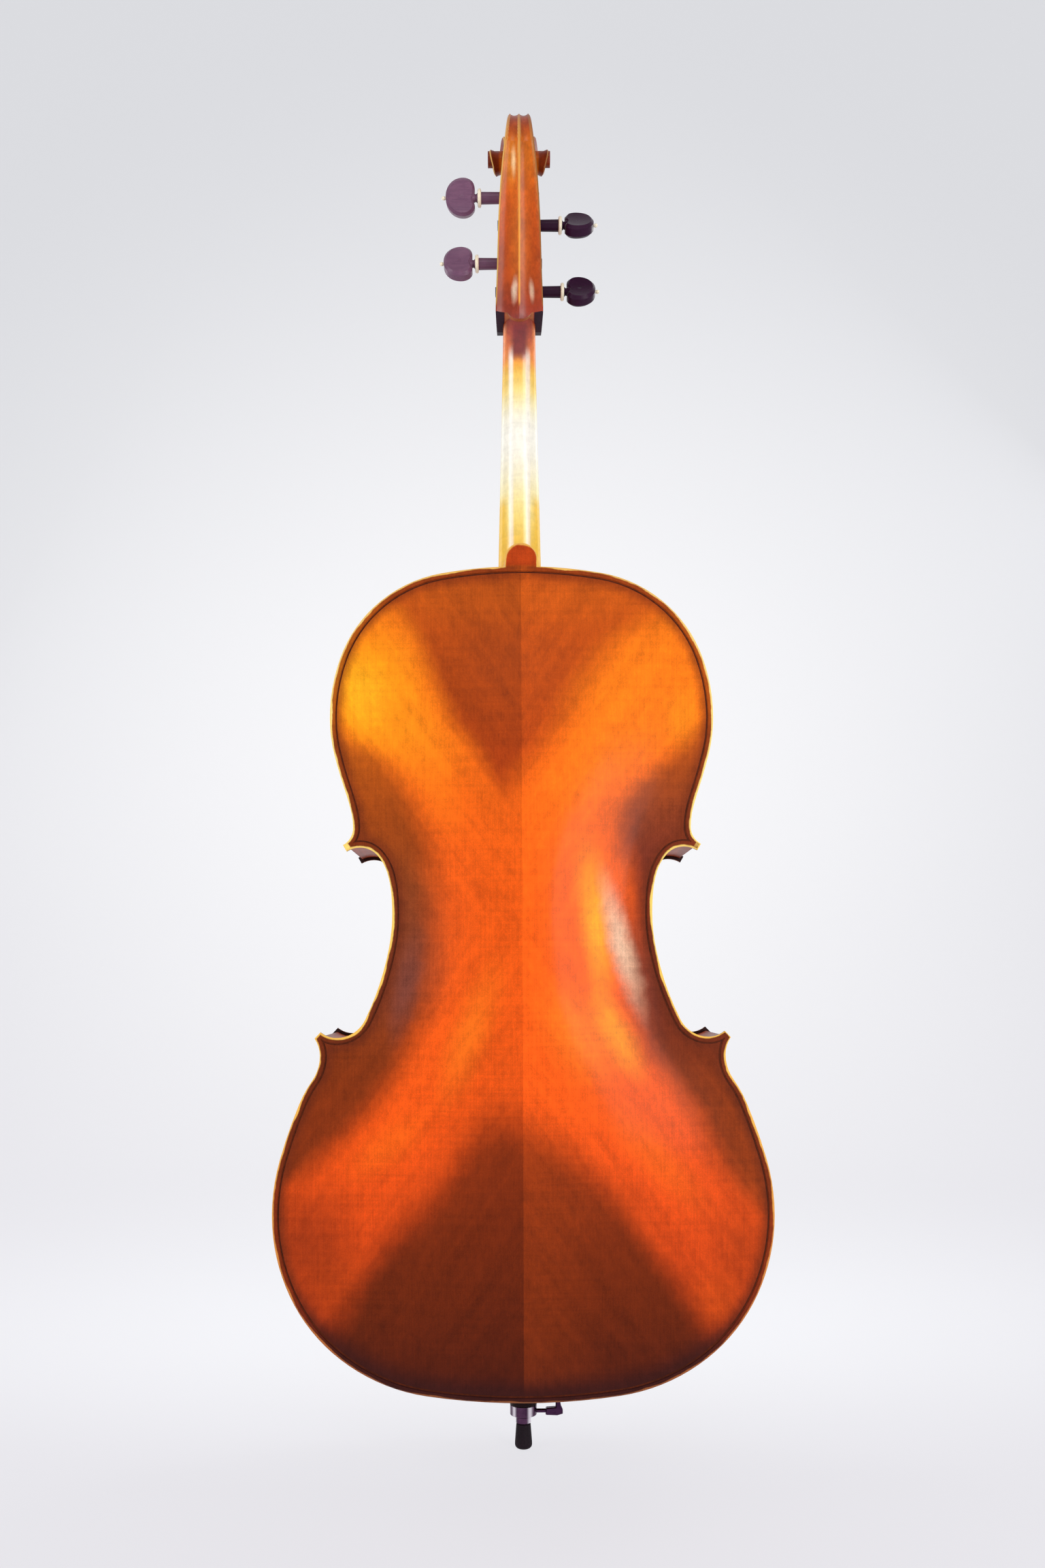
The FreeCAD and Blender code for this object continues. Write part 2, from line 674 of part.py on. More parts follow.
def spiral_radius(degrees):
    """The scroll's radius: a share of its first one for every quarter turn."""
    place = degrees / 90.0
    index = min(int(place), len(SPIRAL_RADII) - 2)
    part = place - index
    share = SPIRAL_RADII[index] * (1 - part) + SPIRAL_RADII[index + 1] * part
    return v.scroll_radius * share


def spiral_half(degrees):
    """The scroll's half width, which grows from its crown to its eyes."""
    crown = v.scroll_top_width / 2
    root = v.pegbox_high_width / 2 - 5.2
    if degrees < 110:
        return crown + (root - crown) * (1 - degrees / 110) ** 1.5
    grown = min((degrees - 110) / 620, 1)
    return crown + (v.scroll_eye_width / 2 - 1.5 - crown) * grown ** 1.4


def flute_depth(half):
    """Depth of the two flutes down the head's back, where its half width is known."""
    return 1.2 + 0.05 * half


def scroll_turn(first, last, step=30):
    """Part of the scroll's spiral, less than one turn, as a loft about its eye."""
    eye = head_at(0, v.eye_height, v.eye_depth)
    wires = []
    count = round((last - first) / step)
    for index in range(count + 1):
        degrees = first + (last - first) * index / count
        angle = math.radians(degrees)
        out = BEHIND * math.cos(angle) + ALONG * math.sin(angle)
        reach = spiral_radius(degrees)
        inner = max(spiral_radius(min(degrees + 360, 810)) - 3, 3) if degrees < 450 else 3
        half = spiral_half(degrees)
        wires.append(head_section(eye, out, reach, half, flute_depth(half), inner, half - 0.8))
    return Part.makeLoft(wires, True, False)


LOW_HALF = v.pegbox_low_width / 2
HIGH_HALF = v.pegbox_high_width / 2
BACK_RISE = v.eye_depth + v.scroll_radius - v.head_low_depth
SHOULDER_FRONT = 10.0  # behind the seat, where the shoulders' undersides start to rise
# Stations up the pegbox: height above the nut, depth of its back, half width, depth of its front.
PEGBOX = (
    (-12.3, v.head_low_depth - 11, LOW_HALF - 2.5, 0),
    (0, v.head_low_depth, LOW_HALF, 0),
    (v.eye_height * 0.13, v.head_low_depth + BACK_RISE * 0.2, LOW_HALF, 2),
    (v.eye_height * 0.4, v.head_low_depth + BACK_RISE * 0.46, (LOW_HALF + HIGH_HALF) / 2, 9),
    (v.eye_height * 0.66, v.head_low_depth + BACK_RISE * 0.7, HIGH_HALF, 15),
    (v.eye_height * 0.84, v.head_low_depth + BACK_RISE * 0.88, HIGH_HALF - 2.2, 24),
    (v.eye_height, v.eye_depth + v.scroll_radius, spiral_half(0),
     v.eye_depth + spiral_radius(360) - 3),
)
CHEEK_DRAFT = 0.8  # how much narrower the pegbox is at its front than at its back, each side


def pegbox_at(above):
    """The pegbox's back, half width and front at a height above the nut."""
    for low, high in zip(PEGBOX, PEGBOX[1:]):
        if low[0] <= above <= high[0]:
            part = (above - low[0]) / (high[0] - low[0])
            return [a + (b - a) * part for a, b in zip(low[1:], high[1:])]
    return PEGBOX[-1][1:]


def pegbox_block():
    """The pegbox before it is hollowed, with its chin hanging over the neck."""
    wires = []
    for above, back, half, front in PEGBOX:
        origin = head_at(0, above, 0)
        inner = half - CHEEK_DRAFT
        wires.append(head_section(origin, BEHIND, back, half, flute_depth(half), front, inner))
    block = Part.makeLoft(wires, True, False)
    chin_radius = v.neck_top_width / 2 - 0.6
    deep = 2 * v.head_low_depth
    rise = v.shoulder_rise / (v.head_low_depth - SHOULDER_FRONT)
    outline = [
        (-deep, -v.neck_length),
        (-deep, 0),
        (SHOULDER_FRONT, 0),
        (deep, rise * (deep - SHOULDER_FRONT)),
        (deep, -v.neck_length),
    ]
    below = prism([Vector(-REACH, y, z) for y, z in outline], Vector(2 * REACH, 0, 0))
    chin = chin_radius + v.shoulder_rise - v.chin_drop
    tongue = Part.makeCylinder(chin_radius, 2 * deep, Vector(0, -deep, chin), Vector(0, 1, 0))
    trim = below.cut(tongue)
    trim.translate(Vector(0, 0, v.neck_length))
    return block.cut(neck_frame(trim))


def pegbox_cavity():
    """The hollow of the pegbox, open to the front."""
    first = v.nut_length + 4
    last = v.eye_height - spiral_radius(270) - 4
    wires = []
    for index in range(4):
        above = first + (last - first) * index / 3
        back, half, front = pegbox_at(above)
        inside = half - v.pegbox_wall
        floor = back - v.pegbox_floor
        corners = ((-inside, -5), (inside, -5), (inside - 1.5, floor), (1.5 - inside, floor))
        wires.append(polygon([head_at(x, above, behind) for x, behind in corners]))
    return Part.makeLoft(wires, True, True)


# ---------------------------------------------------------------- pegs

# Each peg: string, height above the nut, side of its head, turn of its thumb piece.
PEGS = (
    ("c", v.peg_height_c, -1, 62),
    ("a", v.peg_height_a, 1, 103),
    ("g", v.peg_height_g, -1, 52),
    ("d", v.peg_height_d, 1, 77),
)


def peg_seat(above):
    """A peg's centre on the middle plane and the half width of the walls that it crosses."""
    back, half, front = pegbox_at(above)
    return head_at(0, above, (front + back - v.pegbox_floor) / 2), half


def peg_radius(out):
    """The peg's radius at a distance outside the wall; inside the pegbox it is negative."""
    return v.peg_diameter / 2 + out / v.peg_taper / 2


def turned(profile):
    """A solid of revolution about X through (x, radius) points."""
    points = [Vector(x, radius, 0) for x, radius in profile]
    ends = [Vector(profile[-1][0], 0, 0), Vector(profile[0][0], 0, 0)]
    face = Part.Face(polygon(points + ends))
    return face.revolve(Vector(0, 0, 0), Vector(1, 0, 0), 360)


def onto_peg(shape, above, side, turn=0):
    """Carry a shape along +X, with X = 0 at the wall, to a peg's place."""
    centre, half = peg_seat(above)
    moved = shape.copy()
    spin = Rotation(Vector(1, 0, 0), turn)
    flip = Rotation(Vector(0, 0, 1), 0 if side > 0 else 180)
    place = Placement(centre + Vector(side * half, 0, 0), flip.multiply(spin))
    moved.Placement = place.multiply(moved.Placement)
    return moved


def peg_cone(above, gap=0.0):
    """The tapered shank, from its small end to its ring, or the hole that it runs in."""
    _, half = peg_seat(above)
    small = -2 * half - v.peg_reach
    ends = ((small, peg_radius(small) + gap), (v.peg_collar_gap, peg_radius(0) + gap))
    return turned(ends)


HEAD_START = v.peg_collar_gap + v.peg_ring_length + 2.6


def peg_solid(above):
    """A peg: its shank, the turned neck inside its ring, and its thumb piece."""
    start = HEAD_START
    neck_radius = v.peg_diameter * 0.3
    neck = turned([
        (v.peg_collar_gap, neck_radius + 1),
        (start - 2.2, neck_radius + 1),
        (start - 1, neck_radius),
        (start + 2, neck_radius + 1.4),
        (start + v.peg_head_length * 0.45, 1.5),
    ])
    half = v.peg_head_width / 2
    length = v.peg_head_length
    side = [
        (0.06, 0.0), (0.0, 0.45), (0.08, 0.8), (0.26, 0.98), (0.5, 1.0), (0.75, 0.84),
        (0.94, 0.47), (1.0, 0.0),
    ]
    points = [Vector(start + length * a, half * b, 0) for a, b in side]
    points += [Vector(point.x, -point.y, 0) for point in points[-2:0:-1]]
    curve = Part.BSplineCurve()
    curve.interpolate(Points=points, PeriodicFlag=True)
    outline = Part.Face(Part.Wire(curve.toShape()))
    thick = v.peg_head_thickness
    outline.translate(Vector(0, 0, -thick / 2))
    slab = outline.extrude(Vector(0, 0, thick))
    slab = slab.makeChamfer(thick * 0.24, slab.Edges)
    dish = v.peg_head_width * 2.4
    middle = start + length * 0.45
    for side_sign in (1, -1):
        centre = Vector(middle, 0, side_sign * (dish + thick / 2 - 1.8))
        slab = slab.cut(Part.makeSphere(dish, centre))
    return tidy(peg_cone(above).fuse([neck, slab]))


def peg_trim(above):
    """The ring between a peg's shank and thumb piece, and the small pin on its end."""
    start = v.peg_collar_gap
    ring_radius = v.peg_ring_diameter / 2
    inner = v.peg_diameter * 0.3 + 1
    ring = turned([
        (start, ring_radius - 1.2),
        (start + 0.6, ring_radius - 0.2),
        (start + v.peg_ring_length / 2, ring_radius),
        (start + v.peg_ring_length - 0.6, ring_radius - 0.2),
        (start + v.peg_ring_length, ring_radius - 1.2),
    ])
    ring = ring.cut(Part.makeCylinder(inner, v.peg_ring_length * 3, Vector(start - 1, 0, 0),
                                      Vector(1, 0, 0)))
    end = HEAD_START + v.peg_head_length
    ball = v.peg_ball_diameter / 2
    pin = turned([
        (end, ball * 0.75), (end + 0.7, ball * 0.75), (end + 1.2, ball * 0.95),
        (end + 2.2, ball), (end + 3.2, ball * 0.8), (end + 3.8, ball * 0.3),
    ])
    return solids([ring, pin])


def string_coil(diameter, from_x, side, above):
    """The turns of a string round its peg, beside the place where it comes in."""
    _, half = peg_seat(above)
    turns = 5
    out = side * from_x - half
    inward = -1 if side * from_x > 0 else 1
    profile = []
    for index in range(turns):
        near = out + inward * (diameter / 2 + 0.35 + diameter * index)
        for part, swell in ((0.1, 0.6), (0.5, 1.0), (0.9, 0.6)):
            here = near + inward * diameter * part
            profile.append((here, peg_radius(here) + diameter * swell))
    if inward < 0:
        profile.reverse()
    return turned(profile).cut(peg_cone(above))


# ---------------------------------------------------------------- strings and tailpiece line

BRIDGE_Z = body_z(v.body_length - v.stop_length)
BRIDGE_BACK_Z = BRIDGE_Z - v.bridge_foot_thickness / 2
BRIDGE_TOP_Y = GLUE_FRONT - v.front_arch - v.bridge_height
SADDLE_TOP_Y = GLUE_FRONT - v.edge_thickness - v.saddle_rise
STRINGS = ("a", "d", "g", "c")
STRING_DIAMETER = {
    "a": v.string_diameter_a,
    "d": v.string_diameter_d,
    "g": v.string_diameter_g,
    "c": v.string_diameter_c,
}
PLACE = {"a": 1.5, "d": 0.5, "g": -0.5, "c": -1.5}


def crown_drop(x, radius):
    """How far a round top of this radius falls at a distance from its middle."""
    return radius - math.sqrt(radius ** 2 - x ** 2)


def fingerboard_top(x, along):
    """Height of the fingerboard's playing surface before the neck's seat."""
    width = board_width(along)
    edge = crown_drop(width / 2, v.fingerboard_radius)
    return v.fingerboard_side + edge - crown_drop(x, v.fingerboard_radius)


TAIL_FOOT = Vector(0, SADDLE_TOP_Y - v.tailgut_diameter / 2, body_z(v.saddle_length / 2))
TAIL_TOP = Vector(0, BRIDGE_TOP_Y + v.string_break, BRIDGE_BACK_Z - v.tailpiece_gap - v.tuner_inset)
TAIL_UP = (TAIL_TOP - TAIL_FOOT).normalize()
TAIL_OUT = Vector(0, -TAIL_UP.z, TAIL_UP.y)


def tail_at(x, above, out):
    """A point by the tailpiece: aside, towards the bridge from the tuners' forks, outward."""
    return TAIL_TOP + Vector(x, 0, 0) + TAIL_UP * above + TAIL_OUT * out


def tail_frame(shape):
    """Carry a shape whose X, Y, Z mean aside, inward and up the strings to the tailpiece."""
    turn = Rotation(Vector(1, 0, 0), TAIL_OUT * -1, TAIL_UP, "ZXY")
    moved = shape.copy()
    moved.Placement = Placement(TAIL_TOP, turn).multiply(moved.Placement)
    return moved


def string_x(name, spread):
    """A string's place across the instrument where the strings lie this far apart."""
    return PLACE[name] * spread


def bridge_point(name):
    """Where a string's middle line crosses the bridge."""
    x = string_x(name, v.string_spread_bridge)
    drop = crown_drop(x, v.fingerboard_radius)
    lift = STRING_DIAMETER[name] * 0.2
    z = BRIDGE_BACK_Z + v.bridge_top_thickness / 2
    return Vector(x, BRIDGE_TOP_Y + drop - lift, z)


def nut_point(name):
    """Where a string's middle line crosses the nut."""
    x = string_x(name, v.string_spread_nut)
    top = fingerboard_top(x, v.neck_length)
    return head_at(x, v.nut_length * 0.4, -top - v.nut_rise - STRING_DIAMETER[name] * 0.2)


def peg_point(name):
    """Where a string meets its peg, clear of it, on the side nearest the strings."""
    above = dict((peg[0], peg[1]) for peg in PEGS)[name]
    centre, half = peg_seat(above)
    radius = v.peg_diameter / 2 + STRING_DIAMETER[name] / 2 + 0.3
    return centre + Vector(string_x(name, v.string_spread_nut), 0, 0) - BEHIND * radius


def fork_point(name):
    """Where a string's middle line crosses its tuner's fork."""
    x = string_x(name, v.string_spread_tail)
    return tail_at(x, 0, -crown_drop(x, v.fingerboard_radius))


def string_path(name, gap=0.0):
    """A string from its tuner over the bridge and the nut to its peg."""
    end = fork_point(name) - TAIL_UP * 3.3
    points = [end, bridge_point(name), nut_point(name), peg_point(name)]
    return tube(points, STRING_DIAMETER[name] + 2 * gap, (6.0, 6.0))


# ---------------------------------------------------------------- plates, ribs and what is inside

BACK = plate_half(v.back_arch, v.back_centre_thickness)
FRONT = plate_half(v.front_arch, v.front_centre_thickness)


def to_back(shape):
    """Carry a plate's shape to the back of the ribs."""
    moved = shape.copy()
    moved.translate(Vector(0, GLUE_BACK, 0))
    return moved


def to_front(shape):
    """Carry a plate's shape to the front of the ribs, facing -Y."""
    turned_over = shape.mirror(Vector(0, 0, 0), Vector(0, 1, 0))
    turned_over.translate(Vector(0, GLUE_FRONT, 0))
    return turned_over


def button():
    """The half disc of the back that the neck's heel is glued to."""
    half = v.button_width / 2
    low = body_z(v.body_length) - v.edge_width
    shoulder = body_z(v.body_length + v.button_height) - half
    edges = [
        Part.LineSegment(Vector(-half, 0, low), Vector(half, 0, low)).toShape(),
        Part.LineSegment(Vector(half, 0, low), Vector(half, 0, shoulder)).toShape(),
        Part.Arc(Vector(half, 0, shoulder), Vector(0, 0, shoulder + half),
                 Vector(-half, 0, shoulder)).toShape(),
        Part.LineSegment(Vector(-half, 0, shoulder), Vector(-half, 0, low)).toShape(),
    ]
    disc = Part.Face(Part.Wire(edges)).extrude(Vector(0, v.edge_thickness, 0))
    top = [edge for edge in disc.Edges if edge.BoundBox.YMin > v.edge_thickness - 0.01]
    return to_back(disc.makeChamfer(v.edge_bevel, [edge for edge in top if
                                                   edge.BoundBox.ZMax > low + 1]))


def neck_and_scroll():
    """The neck, its root, the pegbox and the scroll, carved from one piece."""
    eye = head_at(0, v.eye_height, v.eye_depth)
    reach = Vector(v.scroll_eye_width / 2, 0, 0)
    head = pegbox_block().fuse([
        scroll_turn(0, 330),
        scroll_turn(330, 660),
        scroll_turn(660, 810),
        rod(eye - reach, eye + reach, v.eye_diameter),
    ])
    head = head.cut(pegbox_cavity())
    root_width = (v.neck_root_width + v.button_width) / 2
    root = box(-root_width / 2, root_width / 2, SEAT.y - 10, 0, ROOT_FLOOR, body_z(v.body_length))
    before_seat = box(-REACH, REACH, -REACH, 0, -REACH, v.neck_length + v.nut_length + 3)
    neck = neck_shaft().fuse([neck_heel(), root])
    neck = neck.cut(box(-REACH, REACH, -REACH, REACH, 0, ROOT_FLOOR))
    neck = neck.cut(box(-REACH, REACH, GLUE_BACK, REACH, 0, body_z(v.body_length + 100)))
    whole = neck.fuse(head).cut(neck_frame(before_seat))
    for name, above, side, turn in PEGS:
        whole = whole.cut(onto_peg(peg_cone(above, v.peg_hole_gap), above, side))
    return tidy(whole)


# ---------------------------------------------------------------- the sound box

NECK = neck_and_scroll()


def corner_frame(outer, inner):
    """The middle of a corner's blunt end and the direction in which it points."""
    ends = [Vector(x, 0, body_z(z)) for x, z in (outer, inner)]
    across = ends[0] - ends[1]
    outward = Vector(-across.z, 0, across.x).normalize()
    if outward.x < 0:
        outward = outward * -1
    return (ends[0] + ends[1]) * 0.5, outward


CORNERS = (
    corner_frame(LOWER_CORNER, LOWER_CORNER_INNER),
    corner_frame(UPPER_CORNER, UPPER_CORNER_INNER),
)


def through(shape_in_plane):
    """A face in the plane Y = 0 pushed through the whole depth of the ribs."""
    shape_in_plane.translate(Vector(0, GLUE_FRONT, 0))
    return shape_in_plane.extrude(Vector(0, v.rib_depth, 0))


def waist_space():
    """The space of the treble waist: between the two lines that halve its corners."""
    lines = []
    for middle, outward in CORNERS:
        lines.append((middle + outward * 25, middle - outward * 60))
    (low_out, low_in), (high_out, high_in) = lines
    points = [
        low_out, low_in, Vector(0, 0, low_in.z), Vector(0, 0, high_in.z), high_in, high_out,
        Vector(REACH, 0, high_out.z), Vector(REACH, 0, low_out.z),
    ]
    return through(Part.Face(polygon(points)))


def ribs():
    """The treble ribs of the lower bout, the waist and the upper bout."""
    band = ring_prism(v.overhang, v.overhang + v.rib_thickness, GLUE_FRONT, GLUE_BACK)
    band = band.common(TREBLE_SPACE)
    waist = waist_space()
    ends = sorted(band.cut(waist).Solids, key=lambda solid: solid.BoundBox.ZMin)
    return ends[0], band.common(waist).Solids[0], ends[1]


INSIDE = through(outline_face(v.overhang + v.rib_thickness))
PLUG_HOLE = Part.makeCylinder(v.plug_diameter / 2, REACH)


def top_block():
    """The block that the neck's root is let into."""
    half = v.top_block_width / 2
    low = body_z(v.body_length - v.overhang - v.rib_thickness - v.top_block_length)
    return INSIDE.common(box(-half, half, -REACH, REACH, low, low + REACH)).cut(NECK)


def bottom_block():
    """The block that the endpin's plug is pressed into."""
    half = v.bottom_block_width / 2
    high = body_z(v.overhang + v.rib_thickness + v.bottom_block_length)
    return INSIDE.common(box(-half, half, -REACH, REACH, 0, high)).cut(PLUG_HOLE)


def corner_blocks():
    """The blocks behind the two treble corners."""
    blocks = []
    for middle, outward in CORNERS:
        sideways = Vector(-outward.z, 0, outward.x) * 60
        inner = middle - outward * v.corner_block_length
        outer = middle + outward * 20
        points = [inner - sideways, inner + sideways, outer + sideways, outer - sideways]
        blocks.append(INSIDE.common(through(Part.Face(polygon(points)))))
    return blocks


TOP_BLOCK = top_block()
BOTTOM_BLOCK = bottom_block()
CORNER_BLOCKS = corner_blocks()


def linings(y0, y1):
    """The linings along one side of the ribs, between the blocks."""
    start = v.overhang + v.rib_thickness
    band = ring_prism(start, start + v.lining_thickness, y0, y1)
    blocks = [TOP_BLOCK, BOTTOM_BLOCK, NECK]
    for block in CORNER_BLOCKS:
        blocks.extend(both_sides(block))
    return solids([band.cut(blocks)])


def bass_bar():
    """The bar glued under the front's bass side, deepest at the bridge."""
    x0 = -v.bass_bar_offset - v.bass_bar_width / 2
    half = v.bass_bar_length / 2
    middle = body_z(v.body_length / 2)
    level = GLUE_FRONT - v.front_arch + v.front_centre_thickness
    edge = [
        Vector(x0, level + v.bass_bar_depth * 1.02, middle - half),
        Vector(x0, level + v.bass_bar_depth, middle),
        Vector(x0, level + v.bass_bar_depth * 1.02, middle + half),
    ]
    far = [Vector(x0, GLUE_FRONT - v.front_arch, middle + end * half) for end in (1, -1)]
    outline = [
        smooth_curve(edge),
        Part.LineSegment(edge[-1], far[0]).toShape(),
        Part.LineSegment(far[0], far[1]).toShape(),
        Part.LineSegment(far[1], edge[0]).toShape(),
    ]
    bar = Part.Face(Part.Wire(outline)).extrude(Vector(v.bass_bar_width, 0, 0))
    return bar.common(mirrored(to_front(FRONT[3])))


def sound_post():
    """The loose post that stands between the front and the back behind the treble foot."""
    x = v.sound_post_offset
    z = BRIDGE_BACK_Z - v.sound_post_setback + v.sound_post_diameter / 2
    ends = [Vector(x, sign * v.rib_depth, z) for sign in (-1, 1)]
    pieces = rod(*ends, v.sound_post_diameter).cut([to_front(FRONT[0]), to_back(BACK[0])])
    return [piece for piece in pieces.Solids if abs(piece.CenterOfMass.y) < v.rib_depth / 4][0]


def saddle():
    """The ebony bar let into the front's lower edge for the tailgut."""
    half = v.saddle_width / 2
    front = SADDLE_TOP_Y
    low, high = body_z(0), body_z(v.saddle_length)
    points = [
        Vector(-half, GLUE_FRONT, high),
        Vector(-half, GLUE_FRONT - v.edge_thickness, high),
        Vector(-half, front, high - 2.5),
        Vector(-half, front, low + 3),
        Vector(-half, front + 1, low + 1),
        Vector(-half, front + 3, low - 1),
        Vector(-half, GLUE_FRONT, low - 1),
    ]
    bar = prism(points, Vector(v.saddle_width, 0, 0))
    depth = v.edge_thickness + v.saddle_rise
    edge = outline_face(0, GLUE_FRONT - depth).extrude(Vector(0, depth, 0))
    return bar.common(edge)


SADDLE = saddle()
BUTTON = button().common(TREBLE_SPACE)
back_treble = to_back(BACK[0]).fuse(BUTTON)
front_treble = to_front(FRONT[0].cut(sound_hole())).cut([SADDLE, NECK])
rib_lower, rib_waist, rib_upper = ribs()

feature("back_treble_half", tidy(back_treble))
feature("back_bass_half", mirrored(tidy(back_treble)))
feature("front_treble_half", tidy(front_treble))
feature("front_bass_half", mirrored(tidy(front_treble)))
feature("purfling_back", solids(both_sides(to_back(BACK[1]))))
feature("purfling_front", solids(both_sides(to_front(FRONT[1]).cut([SADDLE, NECK]))))
for name, rib in (
    ("lower", rib_lower.cut(PLUG_HOLE)),
    ("waist", rib_waist),
    ("upper", rib_upper.cut(NECK)),
):
    feature(f"rib_{name}_treble", rib.Solids[0])
    feature(f"rib_{name}_bass", mirrored(rib.Solids[0]))
feature("top_block", TOP_BLOCK.Solids[0])
feature("bottom_block", BOTTOM_BLOCK.Solids[0])
feature("corner_blocks", solids([part for block in CORNER_BLOCKS for part in both_sides(block)]))
feature("linings_back", linings(GLUE_BACK - v.lining_height, GLUE_BACK))
feature("linings_front", linings(GLUE_FRONT, GLUE_FRONT + v.lining_height))
feature("bass_bar", bass_bar().Solids[0])
feature("sound_post", sound_post())
feature("neck_scroll", NECK)

# ---------------------------------------------------------------- fingerboard, nut and bridge

STRING_SLOTS = [string_path(name, v.string_gap) for name in STRINGS]


def board_section(along, rise, width, low=0.0):
    """A section of the fingerboard or the nut: a flat foot, upright sides and a round top."""
    half = width / 2
    top = fingerboard_top(0, along) + rise
    side = top - crown_drop(half, v.fingerboard_radius)
    feet = [neck_at(sign * half, along, -low) for sign in (-1, 1)]
    shoulders = [neck_at(sign * half, along, -side) for sign in (-1, 1)]
    return Part.Wire([
        Part.LineSegment(feet[0], feet[1]).toShape(),
        Part.LineSegment(feet[1], shoulders[1]).toShape(),
        Part.Arc(shoulders[1], neck_at(0, along, -top), shoulders[0]).toShape(),
        Part.LineSegment(shoulders[0], feet[0]).toShape(),
    ])


def fingerboard():
    """The ebony fingerboard, hollowed under the part that stands free of the neck."""
    end = v.neck_length - v.fingerboard_length
    stations = (v.neck_length, (v.neck_length + end) / 2, end)
    wires = [board_section(along, 0, board_width(along)) for along in stations]
    board = Part.makeLoft(wires, True, False)
    hollow = []
    for along, depth in ((-6, 3.0), (end - 1, 6.5)):
        half = board_width(along) / 2 - 5
        ends = [neck_at(sign * half, along, 0) for sign in (-1, 1)]
        crown = Part.Arc(ends[0], neck_at(0, along, -depth), ends[1]).toShape()
        foot = [neck_at(sign * half, along, 2) for sign in (-1, 1)]
        hollow.append(Part.Wire([
            crown,
            Part.LineSegment(ends[1], foot[1]).toShape(),
            Part.LineSegment(foot[1], foot[0]).toShape(),
            Part.LineSegment(foot[0], ends[0]).toShape(),
        ]))
    return board.cut(Part.makeLoft(hollow, True, False))


def nut():
    """The ebony nut at the fingerboard's upper end, with a slot for each string."""
    start, end = v.neck_length, v.neck_length + v.nut_length
    width = v.fingerboard_top_width
    section = board_section(start, v.nut_rise, width)
    block = Part.Face(section).extrude(ALONG * v.nut_length)
    top = fingerboard_top(0, start) + v.nut_rise
    fall = [
        neck_at(-width, start + v.nut_length * 0.55, -top - 1),
        neck_at(-width, end + 1, -top - 1),
        neck_at(-width, end + 1, -top + 4.2),
    ]
    block = block.cut(prism(fall, Vector(2 * width, 0, 0)))
    return block.cut(STRING_SLOTS)


def oval(x, height, width, length, lean=0):
    """An oval hole's outline on the bridge's face, upright unless it leans."""
    shape = Part.Wire(Part.Ellipse(Vector(0, 0, 0), length / 2, width / 2).toShape())
    shape.rotate(Vector(0, 0, 0), Vector(0, 0, 1), 90 - lean)
    shape.translate(Vector(x, bridge_y(height), BRIDGE_BACK_Z))
    return shape


def bridge_y(height):
    """The Y of a height above the bridge's middle foot line."""
    return GLUE_FRONT - v.front_arch - height


def bridge():
    """The maple bridge: two feet on the arch, long legs, heart and kidney cut-outs."""
    half = v.bridge_width / 2
    top_half = v.bridge_top_width / 2
    tall = v.bridge_height
    side = tall - crown_drop(top_half, v.fingerboard_radius)

    def at(x, height):
        return Vector(x, bridge_y(height), BRIDGE_BACK_Z)

    crown = Part.Arc(at(-top_half, side), at(0, tall), at(top_half, side)).toShape()
    flank = [
        at(top_half, side), at(top_half + 2.5, side - 8), at(top_half + 4, side - 17),
        at(half * 0.8, tall * 0.47), at(half * 0.76, tall * 0.38), at(half * 0.7, tall * 0.26),
        at(half * 0.74, tall * 0.12), at(half * 0.9, tall * 0.055), at(half, tall * 0.03),
    ]
    arch = [
        at(half * 0.56, -1), at(half * 0.5, tall * 0.06), at(half * 0.46, tall * 0.16),
        at(half * 0.32, tall * 0.3), at(0, tall * 0.36), at(-half * 0.32, tall * 0.3),
        at(-half * 0.46, tall * 0.16), at(-half * 0.5, tall * 0.06), at(-half * 0.56, -1),
    ]
    low = v.front_arch
    edges = [crown]
    for sign in (1, -1):
        points = [Vector(sign * point.x, point.y, point.z) for point in flank]
        foot = at(sign * half, -low)
        inner = at(sign * half * 0.56, -low)
        edges.append(smooth_curve(points))
        edges.append(Part.LineSegment(points[-1], foot).toShape())
        edges.append(Part.LineSegment(foot, inner).toShape())
        edges.append(Part.LineSegment(inner, at(sign * half * 0.56, -1)).toShape())
    edges.append(smooth_curve(arch))
    face = Part.Face(Part.Wire(Part.__sortEdges__(edges)))
    holes = [
        oval(0, tall * 0.63, 7, 13),
        oval(3.4, tall * 0.69, 6.4, 8, 30),
        oval(-3.4, tall * 0.69, 6.4, 8, -30),
    ]
    for sign in (1, -1):
        holes.append(oval(sign * half * 0.56, tall * 0.56, 11, 22, sign * 12))
        holes.append(oval(sign * half * 0.78, tall * 0.6, 4.5, 22, sign * 62))
    depth = Vector(0, 0, v.bridge_foot_thickness)
    slab = face.extrude(depth)
    for hole in holes:
        slab = slab.cut(Part.Face(hole).extrude(depth))
    back = BRIDGE_BACK_Z
    wedge = [
        Vector(-half - 9, bridge_y(-low - 1), back),
        Vector(-half - 9, bridge_y(-low - 1), back + v.bridge_foot_thickness),
        Vector(-half - 9, bridge_y(0), back + v.bridge_foot_thickness),
        Vector(-half - 9, bridge_y(tall + 1), back + v.bridge_top_thickness),
        Vector(-half - 9, bridge_y(tall + 1), back),
    ]
    slab = slab.common(prism(wedge, Vector(2 * half + 18, 0, 0)))
    return tidy(slab.cut(both_sides(to_front(FRONT[2])) + STRING_SLOTS))


feature("fingerboard", fingerboard())
feature("nut", nut())
feature("saddle", SADDLE)
feature("bridge", bridge())

# ---------------------------------------------------------------- tailpiece, tuners and strings

SHELL_TOP = 2.5  # how far the tailpiece's surface lies below the strings
SHELL_WALL = 3.5
TAIL_START = v.tuner_inset - v.tailpiece_length
PIN_OUT = -12.0  # the pin that the tuners' levers turn on, below the strings
PIN_ABOVE = -2.0


